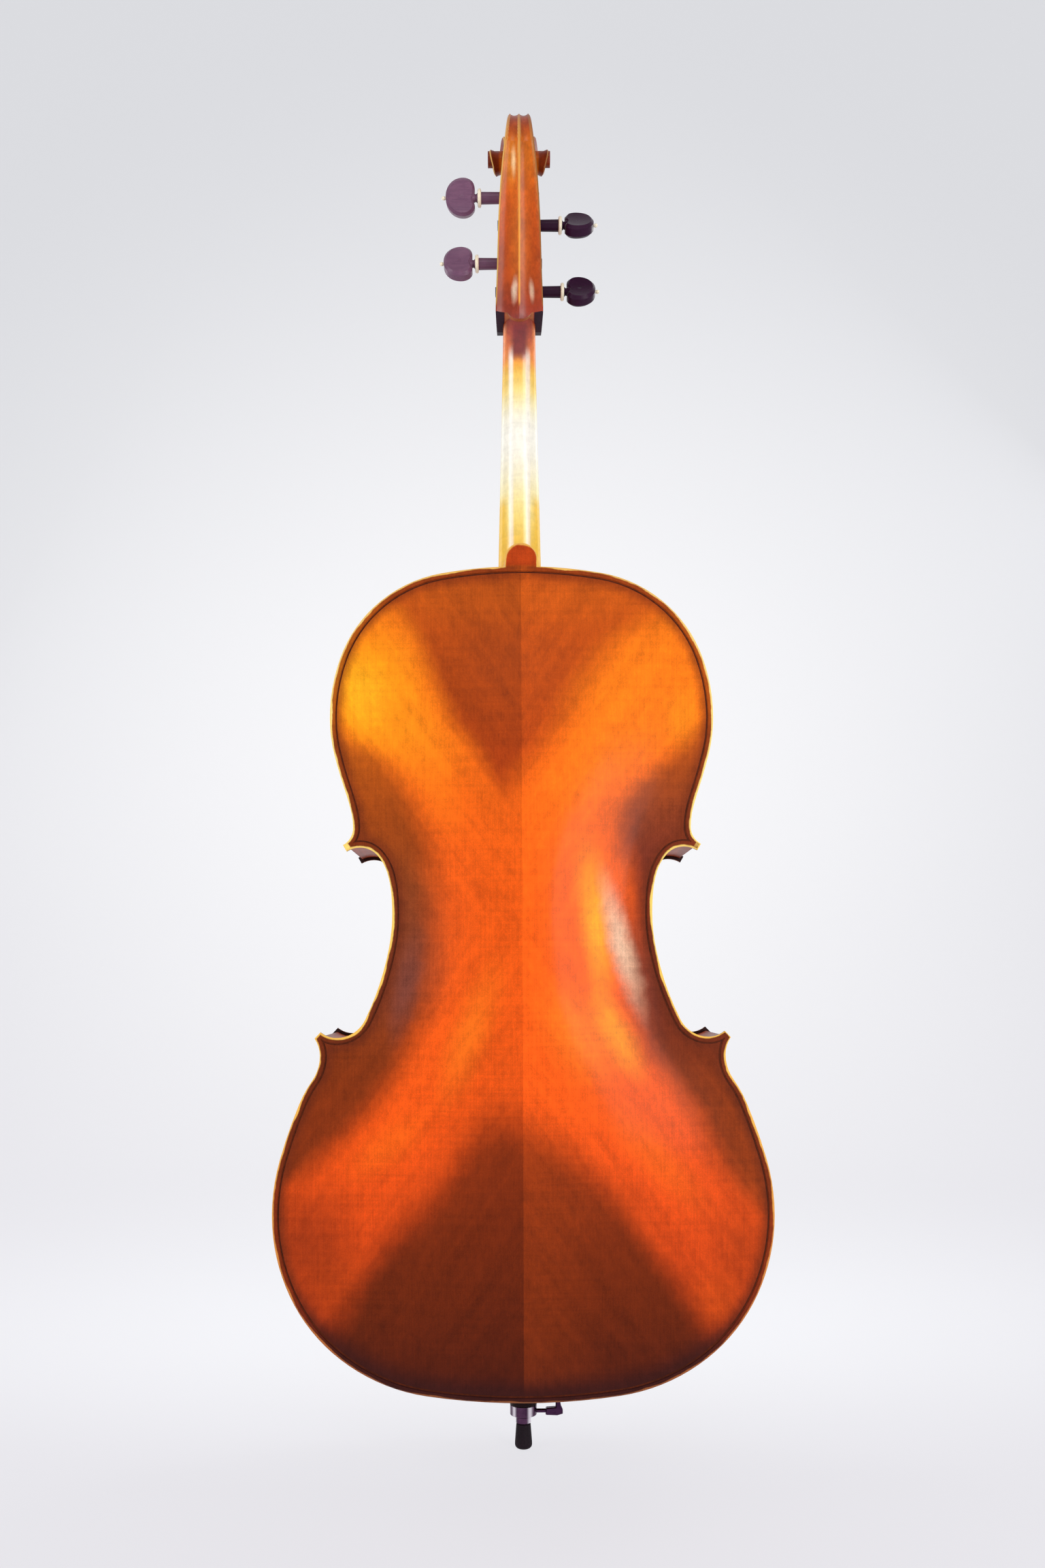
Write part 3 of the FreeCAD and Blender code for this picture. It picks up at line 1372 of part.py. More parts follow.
def tail_width(above):
    """The tailpiece's width at a place along it."""
    part = (v.tuner_inset - above) / v.tailpiece_length
    return v.tailpiece_top_width + (v.tailpiece_low_width - v.tailpiece_top_width) * part


def tail_section(above, inset, top, foot=None):
    """A section of the tailpiece, or of its hollow, that follows the strings' curve."""
    half = tail_width(above) / 2 - inset
    side = top - crown_drop(half, v.fingerboard_radius)
    low = foot if foot is not None else side - v.tailpiece_thickness
    feet = [tail_at(sign * half, above, low) for sign in (-1, 1)]
    shoulders = [tail_at(sign * half, above, side) for sign in (-1, 1)]
    return Part.Wire([
        Part.LineSegment(feet[0], feet[1]).toShape(),
        Part.LineSegment(feet[1], shoulders[1]).toShape(),
        Part.Arc(shoulders[1], tail_at(0, above, top), shoulders[0]).toShape(),
        Part.LineSegment(shoulders[0], feet[0]).toShape(),
    ])


def tail_box(x, width, above, out):
    """A box in the tailpiece's frame: middle and width aside, spans along and outward."""
    shape = box(x - width / 2, x + width / 2, -out[1], -out[0], above[0], above[1])
    return tail_frame(shape)


def tail_rod(x, above, out, diameter):
    """A round bar that stands out from the tailpiece."""
    return rod(tail_at(x, above, out[0]), tail_at(x, above, out[1]), diameter)


def tuner_pin(gap=0.0):
    """The pin across the tailpiece that the four levers turn on."""
    half = tail_width(PIN_ABOVE) / 2 - 0.8
    ends = [tail_at(sign * half, PIN_ABOVE, PIN_OUT) for sign in (-1, 1)]
    return rod(*ends, v.tuner_pin_diameter + 2 * gap)


def gut_strand_start():
    """Where a strand of the tailgut begins, inside the tailpiece's lower end."""
    return tail_at(v.tailpiece_low_width * 0.26, TAIL_START + 12, -SHELL_TOP - 4.2)


def tailgut():
    """The tailgut: two strands from the tailpiece over the saddle, and round the plug."""
    start = gut_strand_start()
    level = body_z(0) - v.tailgut_diameter
    front = SADDLE_TOP_Y - v.tailgut_diameter / 2
    high = Vector(start.x, front, body_z(v.saddle_length / 2))
    low = Vector(start.x, front, level)
    reach = (v.plug_groove_diameter + v.tailgut_diameter) / 2
    far = math.hypot(low.x, low.y)
    angle = math.atan2(low.y, low.x) + math.acos(reach / far)

    def round_plug(turn):
        return Vector(reach * math.cos(turn), reach * math.sin(turn), level)

    touch = round_plug(angle)
    edges = bent_line([start, high, low, touch], (4, 4))
    last = round_plug(math.pi / 2)
    edges.append(Part.Arc(touch, round_plug((angle + math.pi / 2) / 2), last).toShape())
    ring = Part.makeCircle(v.tailgut_diameter / 2, start, high - start)
    half = Part.Wire(edges).makePipeShell([Part.Wire(ring)], True, False)
    return tidy(half.fuse(mirrored(half)))


TAILGUT = tailgut()


def tailpiece():
    """The tailpiece: an arched shell with the string rest, tuner slots and screw holes."""
    high = v.tuner_inset
    shell = Part.makeLoft([
        tail_section(TAIL_START, 0, -SHELL_TOP),
        tail_section(high, 0, -SHELL_TOP),
    ], True, False)
    rest = Part.Face(tail_section(high, 1.2, -0.1, -8)).extrude(TAIL_UP * -2.4)
    deep = -SHELL_TOP - 40
    hollow = Part.makeLoft([
        tail_section(TAIL_START + 16, 4, -SHELL_TOP - SHELL_WALL, deep),
        tail_section(high - 4, 4, -SHELL_TOP - SHELL_WALL, deep),
    ], True, False)
    cuts = [hollow, TAILGUT, tuner_pin()]
    cuts.extend(STRING_SLOTS)
    hole = v.tuner_screw_diameter + 2 * v.tuner_gap
    for name in STRINGS:
        x = string_x(name, v.string_spread_tail)
        cuts.append(tail_box(x, v.tuner_lever_width + 0.8, (-6.5, 1.6), (deep, 6)))
        cuts.append(tail_rod(x, -v.tuner_reach, (deep, 6), hole))
    return tidy(shell.fuse(rest).cut(cuts))


def tuner_lever(name):
    """A fine tuner's lever: fork, hub on the pin and the arm under the screw."""
    x = string_x(name, v.string_spread_tail)
    centre = -crown_drop(x, v.fingerboard_radius)
    width = v.tuner_lever_width
    wire = STRING_DIAMETER[name]
    lever = tail_box(x, width, (PIN_ABOVE - 1.5, PIN_ABOVE + 1.5), (PIN_OUT, centre + 3))
    lever = lever.fuse([
        rod(tail_at(x - width / 2, PIN_ABOVE, PIN_OUT), tail_at(x + width / 2, PIN_ABOVE, PIN_OUT), 5),
        tail_box(x, width, (-v.tuner_reach - 2, PIN_ABOVE), (PIN_OUT - 2.2, PIN_OUT + 0.8)),
    ])
    notch = tail_box(x, wire + 0.2, (-6, 3), (centre - wire / 2 - 0.35, centre + 6))
    return tidy(lever.cut([notch, tuner_pin(v.tuner_gap)]))


def tuner_screw(name):
    """A fine tuner's screw with its knurled knob."""
    x = string_x(name, v.string_spread_tail)
    centre = -crown_drop(x, v.fingerboard_radius)
    above = -v.tuner_reach
    shank = tail_rod(x, above, (PIN_OUT + 0.9, centre), v.tuner_screw_diameter)
    knob = tail_rod(x, above, (centre - 0.5, centre + 4.5), v.tuner_knob_diameter)
    edges = [edge for edge in knob.Edges if len(edge.Vertexes) == 1]
    knob = knob.makeChamfer(0.6, edges)
    flutes = []
    for index in range(16):
        angle = math.radians(360 / 16 * index)
        aside = v.tuner_knob_diameter / 2 + 0.15
        place = (x + aside * math.cos(angle), above + aside * math.sin(angle))
        flutes.append(tail_rod(*place, (centre - 1, centre + 5), 0.9))
    return tidy(knob.cut(flutes).fuse(shank))


def string_ball(name):
    """The drilled ball that holds a string's end behind its fork."""
    x = string_x(name, v.string_spread_tail)
    centre = -crown_drop(x, v.fingerboard_radius)
    above = PIN_ABOVE - 1.5 - 1.9
    ends = [tail_at(x + side * 1.7, above, centre) for side in (-1, 1)]
    ball = rod(*ends, 3.8)
    return ball.cut(rod(*ends, 1.4))


feature("tailpiece", tailpiece())
feature("tailgut", TAILGUT)
feature("tuner_pin", tuner_pin())
for name in STRINGS:
    feature(f"tuner_lever_{name}", tuner_lever(name))
    feature(f"tuner_screw_{name}", tuner_screw(name))
    feature(f"string_ball_{name}", string_ball(name))
    feature(f"string_{name}", string_path(name))
for name, above, side, turn in PEGS:
    feature(f"peg_{name}", onto_peg(peg_solid(above), above, side, turn))
    feature(f"peg_trim_{name}", onto_peg(peg_trim(above), above, side, turn))
    coil = string_coil(STRING_DIAMETER[name], string_x(name, v.string_spread_nut), side, above)
    feature(f"string_coil_{name}", onto_peg(coil, above, side))

# ---------------------------------------------------------------- the endpin



def sheet_value(expression):
    """The value of an expression of the sheet's cells."""
    return float(sheet.evalExpression(expression))


def profile_sketch(body, role, name, loops):
    """A sketch of closed polygons on an origin plane of a body, each corner held by two
    expressions of the sheet's cells."""
    sketch = body.newObject("Sketcher::SketchObject", name)
    plane = [item for item in body.Origin.OriginFeatures if item.Role == role][0]
    sketch.AttachmentSupport = [(plane, "")]
    sketch.MapMode = "FlatFace"
    for loop in loops:
        first = sketch.GeometryCount
        points = [Vector(sheet_value(across), sheet_value(up), 0) for across, up in loop]
        for start, end in zip(points, points[1:] + points[:1]):
            sketch.addGeometry(Part.LineSegment(start, end), False)
        for index, corner in enumerate(loop):
            line = first + index
            previous = first + (index - 1) % len(points)
            sketch.addConstraint(Sketcher.Constraint("Coincident", previous, 2, line, 1))
            for kind, axis, wanted in zip(("DistanceX", "DistanceY"), (-2, -1), corner):
                if wanted == "0":
                    sketch.addConstraint(Sketcher.Constraint("PointOnObject", line, 1, axis))
                    continue
                place = sheet_value(wanted)
                held = Sketcher.Constraint(kind, -1, 1, line, 1, place)
                number = sketch.addConstraint(held)
                sketch.setExpression(f"Constraints[{number}]", wanted)
    return sketch


def turned_body(label, profile):
    """A PartDesign body turned about +Z from (radius, height) expressions."""
    body = doc.addObject("PartDesign::Body", label)
    sketch = profile_sketch(body, "XZ_Plane", label + "_profile", [profile])
    turning = body.newObject("PartDesign::Revolution", label + "_turning")
    turning.Profile = sketch
    turning.ReferenceAxis = (sketch, ["V_Axis"])
    turning.Angle = 360
    return keep(body, label)


RIB_LINE = "(Sizes.body_bottom + Sizes.overhang)"
BLOCK_TOP = f"({RIB_LINE} + Sizes.rib_thickness + Sizes.bottom_block_length)"
PLUG_FOOT = f"({RIB_LINE} - Sizes.plug_flange_length)"
COLLAR_FOOT = f"({PLUG_FOOT} - Sizes.collar_length)"
NECK_FOOT = f"({COLLAR_FOOT} - Sizes.collar_neck_length)"
ROD_RADIUS = "Sizes.rod_diameter / 2"
ROD_BORE = "(Sizes.rod_diameter / 2 + Sizes.rod_gap)"
GUT_LEVEL = "(Sizes.body_bottom - Sizes.tailgut_diameter)"
GUT_RADIUS = "Sizes.tailgut_diameter / 2"
TIP_WALL = "5"  # rubber under the rod's end

plug = turned_body("endpin_plug", [
    ("Sizes.rod_diameter / 2 + 0.6", PLUG_FOOT),
    ("Sizes.collar_diameter / 2", PLUG_FOOT),
    ("Sizes.collar_diameter / 2 + 0.3", f"{PLUG_FOOT} + 1"),
    ("Sizes.plug_flange_diameter / 2 - 1.2", f"{GUT_LEVEL} - {GUT_RADIUS} - 6"),
    ("Sizes.plug_flange_diameter / 2", f"{GUT_LEVEL} - {GUT_RADIUS} - 1.5"),
    ("Sizes.plug_flange_diameter / 2", f"{GUT_LEVEL} - {GUT_RADIUS} - 0.2"),
    ("Sizes.plug_groove_diameter / 2", f"{GUT_LEVEL} - {GUT_RADIUS} - 0.2"),
    ("Sizes.plug_groove_diameter / 2", f"{GUT_LEVEL} + {GUT_RADIUS} + 0.2"),
    ("Sizes.plug_flange_diameter / 2", f"{GUT_LEVEL} + {GUT_RADIUS} + 0.2"),
    ("Sizes.plug_flange_diameter / 2", RIB_LINE),
    ("Sizes.plug_diameter / 2", RIB_LINE),
    ("Sizes.plug_diameter / 2", f"{BLOCK_TOP} + 1"),
    ("Sizes.plug_diameter / 2 - 1", f"{BLOCK_TOP} + 2"),
    ("Sizes.rod_diameter / 2 + 0.6", f"{BLOCK_TOP} + 2"),
])

ferrule = turned_body("endpin_ferrule", [
    (ROD_BORE, NECK_FOOT),
    ("Sizes.collar_neck_diameter / 2 - 0.6", NECK_FOOT),
    ("Sizes.collar_neck_diameter / 2", f"{NECK_FOOT} + 0.6"),
    ("Sizes.collar_neck_diameter / 2", f"{COLLAR_FOOT} - 1"),
    ("Sizes.collar_diameter / 2 - 3.6", COLLAR_FOOT),
    ("Sizes.collar_diameter / 2 - 0.4", f"{COLLAR_FOOT} + 1.6"),
    ("Sizes.collar_diameter / 2", f"{COLLAR_FOOT} + 2.2"),
    ("Sizes.collar_diameter / 2", f"{PLUG_FOOT} - 0.5"),
    ("Sizes.collar_diameter / 2 - 0.5", PLUG_FOOT),
    (ROD_BORE, PLUG_FOOT),
])
circle = ferrule.newObject("Sketcher::SketchObject", "thumbscrew_hole")
circle.AttachmentSupport = [
    ([item for item in ferrule.Origin.OriginFeatures if item.Role == "YZ_Plane"][0], ""),
]
circle.MapMode = "FlatFace"
hole_radius = v.thumbscrew_diameter / 2 + v.tuner_gap
circle.addGeometry(Part.Circle(Vector(0, v.thumbscrew_height, 0), Vector(0, 0, 1), hole_radius))
circle.addConstraint(Sketcher.Constraint("PointOnObject", 0, 3, -2))
circle.addConstraint(Sketcher.Constraint("DistanceY", -1, 1, 0, 3, v.thumbscrew_height))
circle.setExpression("Constraints[1]", "Sizes.thumbscrew_height")
circle.addConstraint(Sketcher.Constraint("Radius", 0, hole_radius))
circle.setExpression("Constraints[2]", "Sizes.thumbscrew_diameter / 2 + Sizes.tuner_gap")
drilling = ferrule.newObject("PartDesign::Pocket", "thumbscrew_drilling")
drilling.Profile = circle
drilling.Length = v.collar_diameter
drilling.Reversed = False

endpin_rod = turned_body("endpin_rod", [
    ("0", TIP_WALL),
    (f"{ROD_RADIUS} - 1", TIP_WALL),
    (ROD_RADIUS, f"{TIP_WALL} + 1"),
    (ROD_RADIUS, f"{TIP_WALL} + Sizes.rod_length - 1"),
    (f"{ROD_RADIUS} - 1", f"{TIP_WALL} + Sizes.rod_length"),
    ("0", f"{TIP_WALL} + Sizes.rod_length"),
])

tip = turned_body("endpin_tip", [
    ("0", "0"),
    ("Sizes.tip_low_diameter / 2", "0"),
    ("Sizes.tip_low_diameter / 2", "Sizes.tip_length * 0.25"),
    ("Sizes.tip_top_diameter / 2", "Sizes.tip_length - 0.8"),
    ("Sizes.tip_top_diameter / 2 - 0.8", "Sizes.tip_length"),
    (ROD_RADIUS, "Sizes.tip_length"),
    (ROD_RADIUS, f"{TIP_WALL} + 1"),
    (f"{ROD_RADIUS} - 1", TIP_WALL),
    ("0", TIP_WALL),
])
doc.recompute()
foot_edges = [
    f"Edge{index}" for index, edge in enumerate(tip.Shape.Edges, 1)
    if edge.BoundBox.ZMax < 0.01 and edge.BoundBox.XMax > v.tip_flat_diameter / 2
]
turning = tip.Tip
rounding = tip.newObject("PartDesign::Fillet", "tip_rounding")
rounding.Base = (turning, foot_edges)
rounding.setExpression("Radius", "(Sizes.tip_low_diameter - Sizes.tip_flat_diameter) / 2")
doc.recompute()


def endpin_screw():
    """The thumbscrew that clamps the rod: shank, hub and an upright wing."""
    level = v.thumbscrew_height
    start = v.rod_diameter / 2 + v.rod_gap
    hub = v.collar_diameter / 2 + 8.3

    def along(x0, x1, diameter):
        return rod(Vector(-x0, 0, level), Vector(-x1, 0, level), diameter)

    shank = along(start, hub + 4, v.thumbscrew_diameter)
    outline = [
        (hub, -3.0), (hub + 1, -3.6), (hub + 11, -4.0), (hub + 16.3, -2.4), (hub + 16.3, 1.5),
        (hub + 14.6, 5.0), (hub + 14.0, 8.5), (hub + 15.6, 14.0), (hub + 8.8, 14.0),
        (hub + 9.6, 9.5), (hub + 9.4, 3.8), (hub + 1, 3.2), (hub, 2.2),
    ]
    points = [Vector(-x, -3.1, level + z) for x, z in outline]
    slab = prism(points, Vector(0, 6.2, 0))
    across = [edge for edge in slab.Edges if abs(edge.BoundBox.YMax - edge.BoundBox.YMin) < 0.1]
    return tidy(slab.makeChamfer(0.9, across).fuse(shank))


feature("endpin_screw", endpin_screw())

# ---------------------------------------------------------------- checks and export

doc.recompute()
faults = []
for obj in doc.Objects:
    if "Invalid" in obj.State or "Error" in obj.State:
        faults.append(f"{obj.Label}: {obj.State}")
for obj in SUBPARTS:
    if obj.Shape.isNull() or not obj.Shape.isValid() or not obj.Shape.Solids:
        faults.append(f"{obj.Label}: no valid solid")
if faults:
    raise RuntimeError("; ".join(faults))
os.makedirs("parts", exist_ok=True)
for obj in SUBPARTS:
    obj.Shape.exportStep(f"parts/{obj.Label}.step")
print(len(SUBPARTS), "sub-parts")
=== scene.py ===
"""The looks of the cello: materials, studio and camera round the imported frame.

Metres, in the frame's own axes: +Z up the instrument, +Y towards its back, +X to the treble side.
The varnished materials are laid out in millimetres: `bass` runs from the centre to the bass side,
and `high` runs up the instrument, with the body's lower edge at FOOT_HIGH. Some soft pale and dark
patches stand for highlights and shading; they are colour in the varnish and do not move.
"""

import math

import bpy
import numpy as np
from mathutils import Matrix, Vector

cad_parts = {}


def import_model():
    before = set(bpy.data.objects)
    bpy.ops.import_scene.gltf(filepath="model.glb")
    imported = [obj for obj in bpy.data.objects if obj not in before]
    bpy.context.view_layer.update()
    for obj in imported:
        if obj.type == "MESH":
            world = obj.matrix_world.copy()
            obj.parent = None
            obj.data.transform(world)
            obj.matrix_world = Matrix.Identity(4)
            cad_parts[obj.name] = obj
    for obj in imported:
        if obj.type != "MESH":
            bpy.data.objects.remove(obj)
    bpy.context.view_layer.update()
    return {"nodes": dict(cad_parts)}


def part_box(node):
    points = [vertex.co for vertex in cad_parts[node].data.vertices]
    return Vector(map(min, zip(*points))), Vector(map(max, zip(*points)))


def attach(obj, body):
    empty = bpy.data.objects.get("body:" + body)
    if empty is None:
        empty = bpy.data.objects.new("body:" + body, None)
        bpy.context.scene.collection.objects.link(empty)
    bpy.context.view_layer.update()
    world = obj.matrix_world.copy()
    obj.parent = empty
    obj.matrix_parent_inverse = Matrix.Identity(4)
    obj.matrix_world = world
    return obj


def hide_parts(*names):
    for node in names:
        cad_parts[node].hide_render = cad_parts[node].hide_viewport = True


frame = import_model()
NODES = frame["nodes"]

# ---------------------------------------------------------------- places taken from the frame

BODY_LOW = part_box("back_treble_half")[0].z  # the body's lower edge
BACK_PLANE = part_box("rib_lower_treble")[1].y  # where the ribs meet the back

# ---------------------------------------------------------------- node helpers


def linear(code):
    """A six-digit sRGB colour code as linear RGBA."""
    values = [int(code[i:i + 2], 16) / 255 for i in (0, 2, 4)]
    curve = [c / 12.92 if c <= 0.04045 else ((c + 0.055) / 1.055) ** 2.4 for c in values]
    return (*curve, 1.0)


class Paint:
    """A material under construction: a Principled shader and short ways to feed it."""

    def __init__(self, name, **constants):
        self.material = bpy.data.materials.new(name)
        self.material.use_nodes = True
        self.tree = self.material.node_tree
        self.shader = self.tree.nodes["Principled BSDF"]
        for socket, value in constants.items():
            self.shader.inputs[socket.replace("_", " ")].default_value = value
        self.place = self.node("ShaderNodeTexCoord").outputs["Object"]
        split = self.node("ShaderNodeSeparateXYZ", Vector=self.place)
        self.x, self.y, self.z = split.outputs
        normal = self.node("ShaderNodeNewGeometry").outputs["True Normal"]
        facing = self.node("ShaderNodeSeparateXYZ", Vector=normal)
        self.nx, self.ny, self.nz = facing.outputs

    def node(self, kind, **inputs):
        """A new node with some of its inputs linked or set."""
        made = self.tree.nodes.new(kind)
        for name, value in inputs.items():
            self.feed(made.inputs[name.replace("_", " ")], value)
        return made

    def feed(self, socket, value):
        """Link an output to a socket, or set the socket to a plain value."""
        if isinstance(value, bpy.types.NodeSocket):
            self.tree.links.new(value, socket)
        else:
            socket.default_value = value

    def math(self, operation, *values):
        made = self.tree.nodes.new("ShaderNodeMath")
        made.operation = operation
        for socket, value in zip(made.inputs, values):
            self.feed(socket, value)
        return made.outputs[0]

    def step(self, value, low, high, to_low=0.0, to_high=1.0):
        """A smooth step of a value between two limits."""
        made = self.tree.nodes.new("ShaderNodeMapRange")
        made.interpolation_type = "SMOOTHSTEP"
        for name, given in (("Value", value), ("From Min", low), ("From Max", high),
                            ("To Min", to_low), ("To Max", to_high)):
            self.feed(made.inputs[name], given)
        return made.outputs[0]

    def product(self, *values):
        """All the values multiplied together."""
        result = values[0]
        for value in values[1:]:
            result = self.math("MULTIPLY", result, value)
        return result

    def total(self, *values):
        """All the values added together."""
        result = values[0]
        for value in values[1:]:
            result = self.math("ADD", result, value)
        return result

    def between(self, value, rise, fall):
        """One inside a range of a value: it rises over one pair of limits, falls over another."""
        return self.product(self.step(value, *rise), self.step(value, *fall, 1.0, 0.0))

    def mix(self, factor, first, second):
        """From the first colour to the second, by a factor."""
        made = self.tree.nodes.new("ShaderNodeMix")
        made.data_type = "RGBA"
        for index, given in ((0, factor), (6, first), (7, second)):
            self.feed(made.inputs[index], given)
        return made.outputs[2]

    def vector(self, x, y, z):
        return self.node("ShaderNodeCombineXYZ", X=x, Y=y, Z=z).outputs[0]

    def noise(self, place, scale, detail=3.0, rough=0.55, distortion=0.0):
        made = self.node("ShaderNodeTexNoise", Vector=place, Scale=scale, Detail=detail,
                         Roughness=rough, Distortion=distortion)
        return made.outputs["Fac"]

    def stretched(self, x, y, z):
        """The object coordinates with each axis scaled, for grain that runs one way."""
        return self.node("ShaderNodeMapping", Vector=self.place, Scale=(x, y, z)).outputs[0]

    def varied(self, tone, *shares):
        """A tone made lighter or darker by the sum of some shares."""
        made = self.node("ShaderNodeHueSaturation", Color=tone, Value=self.total(*shares, 1.0))
        return made.outputs[0]

    def bump(self, height, distance, strength):
        made = self.node("ShaderNodeBump", Height=height, Distance=distance, Strength=strength)
        return made.outputs[0]

    def finish(self, **links):
        """Feed the shader's sockets and give the material."""
        for name, value in links.items():
            self.feed(self.shader.inputs[name.replace("_", " ")], value)
        return self.material


def dress(material, *names):
    """Give CAD nodes a material."""
    for name in names:
        data = NODES[name].data
        data.materials.clear()
        data.materials.append(material)


# ---------------------------------------------------------------- copies that know their edge

GLUE_SLACK = 0.0002  # a point this near the glued face's plane lies on it
CENTRE_SLACK = 0.0005  # a point this near the centre joint lies on it
UPRIGHT = 0.2  # a wall's normal leans towards the plate's face by less than this


def varnished_copy(name, material):
    """A plate half whose points know their distance from the plate's edge, as `inset`."""
    node = NODES[name]
    mesh = node.data.copy()
    mesh.name = f"{name}_varnished"
    place = np.array([node.matrix_world @ v.co for v in mesh.vertices])
    glue = min(abs(place[:, 1]))  # the plane of the face that is glued to the ribs
    sides = []
    for face in mesh.polygons:
        points = place[list(face.vertices)]
        at_joint = abs(points[:, 0]).max() < CENTRE_SLACK
        low = [tuple(point[[0, 2]]) for point in points if abs(abs(point[1]) - glue) < GLUE_SLACK]
        if abs(face.normal.y) < UPRIGHT and not at_joint and len(low) == 2:
            sides.append(low)
    sides = np.array(sides)
    start, along = sides[:, 0], sides[:, 1] - sides[:, 0]
    length = (along ** 2).sum(1)
    inset = mesh.attributes.new("inset", "FLOAT", "POINT")
    for index, point in enumerate(place[:, [0, 2]]):
        part = np.clip(((point - start) * along).sum(1) / length, 0, 1)
        away = point - start - along * part[:, None]
        inset.data[index].value = math.sqrt((away ** 2).sum(1).min())
    made = bpy.data.objects.new(f"{name}_varnished", mesh)
    bpy.context.scene.collection.objects.link(made)
    made.matrix_world = node.matrix_world.copy()
    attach(made, "cello")
    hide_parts(name)
    mesh.materials.clear()
    mesh.materials.append(material)


# ---------------------------------------------------------------- varnished maple and spruce

WAIST = BODY_LOW + 0.43  # metres: the colour's streaks spread up and down from this height
ARM_LEAN = math.radians(36)  # how far the streaks lean from upright
FOOT_HIGH = 66  # the height, in the materials' millimetres, of the body's lower edge
BODY_TOP = (819, 822)  # the varnish's edge shading ends between these heights
BUTTON_START = (820, 823)  # the button's own colour begins between these heights
HEAD_START = (1084, 1090)  # the head's own colours begin between these heights
VARNISH = {"Coat_Weight": 0.17, "Coat_Roughness": 0.16, "Coat_IOR": 1.36,
           "Specular_IOR_Level": 0.05}

# Where painted shade darkens the varnish, in millimetres. The pairs are a height, and how far from
# the centre joint the shade begins or ends there. FOOT's are a place aside, and how high it
# reaches.
CROWN_TREBLE = ((570, -20), (590, 5), (608, 16), (630, 30), (659, 45), (680, 61), (708, 73),
                (735, 85), (767, 96), (790, 118), (815, 190))
CROWN_BASS = ((600, -25), (634, 2), (645, 15), (660, 29), (680, 44), (705, 54), (730, 72),
              (750, 86), (775, 118), (815, 190))
FLANK_TREBLE = ((255, 225), (277, 192), (300, 169), (348, 121), (374, 104), (404, 93), (423, 82),
                (470, 75), (547, 77), (584, 83), (628, 106), (652, 128), (672, 165), (695, 225))
FLANK_BASS = ((232, 225), (260, 194), (293, 170), (329, 150), (365, 124), (394, 106), (440, 101),
              (500, 101), (550, 92), (578, 84), (603, 88), (634, 118), (652, 138), (674, 160),
              (700, 225))
FOOT = ((-200, 95), (-172, 137), (-152, 163), (-126, 210), (-78, 260), (-51, 296), (-25, 322),
        (0, 318), (33, 303), (69, 267), (92, 241), (111, 212), (141, 172), (173, 124), (200, 90))

# Soft oval patches: colour, middle to the bass side, middle's height, half width, half height,
# turn in degrees, strength.
# On the back: painted highlights, bright bands in an X from the waist, and painted shade in the
# dark lobes at the lower corners.
BACK_ARMS = (
    ("f9960f", -138, 712, 66, 84, 10, 1.0),
    ("fcb01c", -142, 706, 34, 50, 16, 0.85),
    ("f98c12", -104, 672, 46, 84, 38, 0.75),
    ("f87410", -76, 618, 28, 60, 24, 0.55),
    ("f87410", 70, 650, 30, 100, -38, 0.75),
    ("f6730f", 128, 710, 44, 74, -10, 0.7),
    ("fa8c14", 146, 680, 22, 44, 0, 0.6),
    ("fca41e", 66, 500, 22, 92, 8, 0.85),
    ("fb9a1e", 84, 400, 22, 60, 26, 0.75),
    ("fb8418", 50, 400, 40, 70, 30, 0.45),
    ("fb7d18", -46, 400, 26, 90, -20, 0.55),
    ("fb6a10", -120, 300, 26, 60, -52, 0.5),
    ("fb6a10", 118, 290, 26, 90, 42, 0.45),
    ("8e2f0a", -196, 212, 60, 84, -10, 0.75),
    ("a03808", -168, 166, 60, 70, -40, 0.6),
    ("9a3609", 200, 200, 44, 90, 10, 0.5),
    ("c44a0c", 178, 150, 40, 60, 30, 0.5),
)
# Painted reflections on the waist: a pale highlight on the bass side with a dark purple-brown band
# beside it, and a faint sheen on the treble side.
BACK_PAINTED_REFLECTIONS = (
    ("74382a", 102, 462, 22, 90, 16, 0.75),
    ("dcb090", 90, 480, 16, 86, 16, 0.95),
    ("744038", -104, 440, 18, 70, -12, 0.6),
)
# On the head: the three pale patches are painted highlights; the others are tones in the varnish.
HEAD_PATCHES = (
    ("e2852a", 0, 1140, 14, 60, 0, 0.3),
    ("d98a2c", -7, 1200, 9, 26, 0, 0.5),
    ("f0d8a8", -5, 1200, 3.4, 16, 0, 0.6),
    ("f3dcc0", -4.5, 1099, 4.4, 15, -4, 0.7),
    ("efd2b2", 11.5, 1099, 3.6, 13, 5, 0.6),
    ("7c3410", 3, 1150, 12, 16, 30, 0.4),
    ("8a3a10", -6, 1124, 12, 9, -20, 0.4),
)
# Tones up the neck and head: the near-white middle is pale maple brightened by painted highlight.
NECK_TONES = (
    (836, "cf7c24"), (848, "e8a42c"), (865, "efb83a"), (888, "f0c848"), (918, "f3e08a"),
    (940, "f4eabf"), (968, "f1eee2"), (998, "f1eee0"), (1018, "efdd90"), (1039, "efbc36"),
    (1052, "ea8a30"), (1066, "c9542c"), (1078, "84281a"), (1092, "94381a"), (1108, "a2400c"),
    (1130, "a8420a"), (1150, "b4480a"), (1172, "bc4e0a"), (1192, "c05c0c"), (1214, "c4640f"),
    (1228, "a4400f"), (1244, "8c3a1e"), (1254, "82402a"),
)


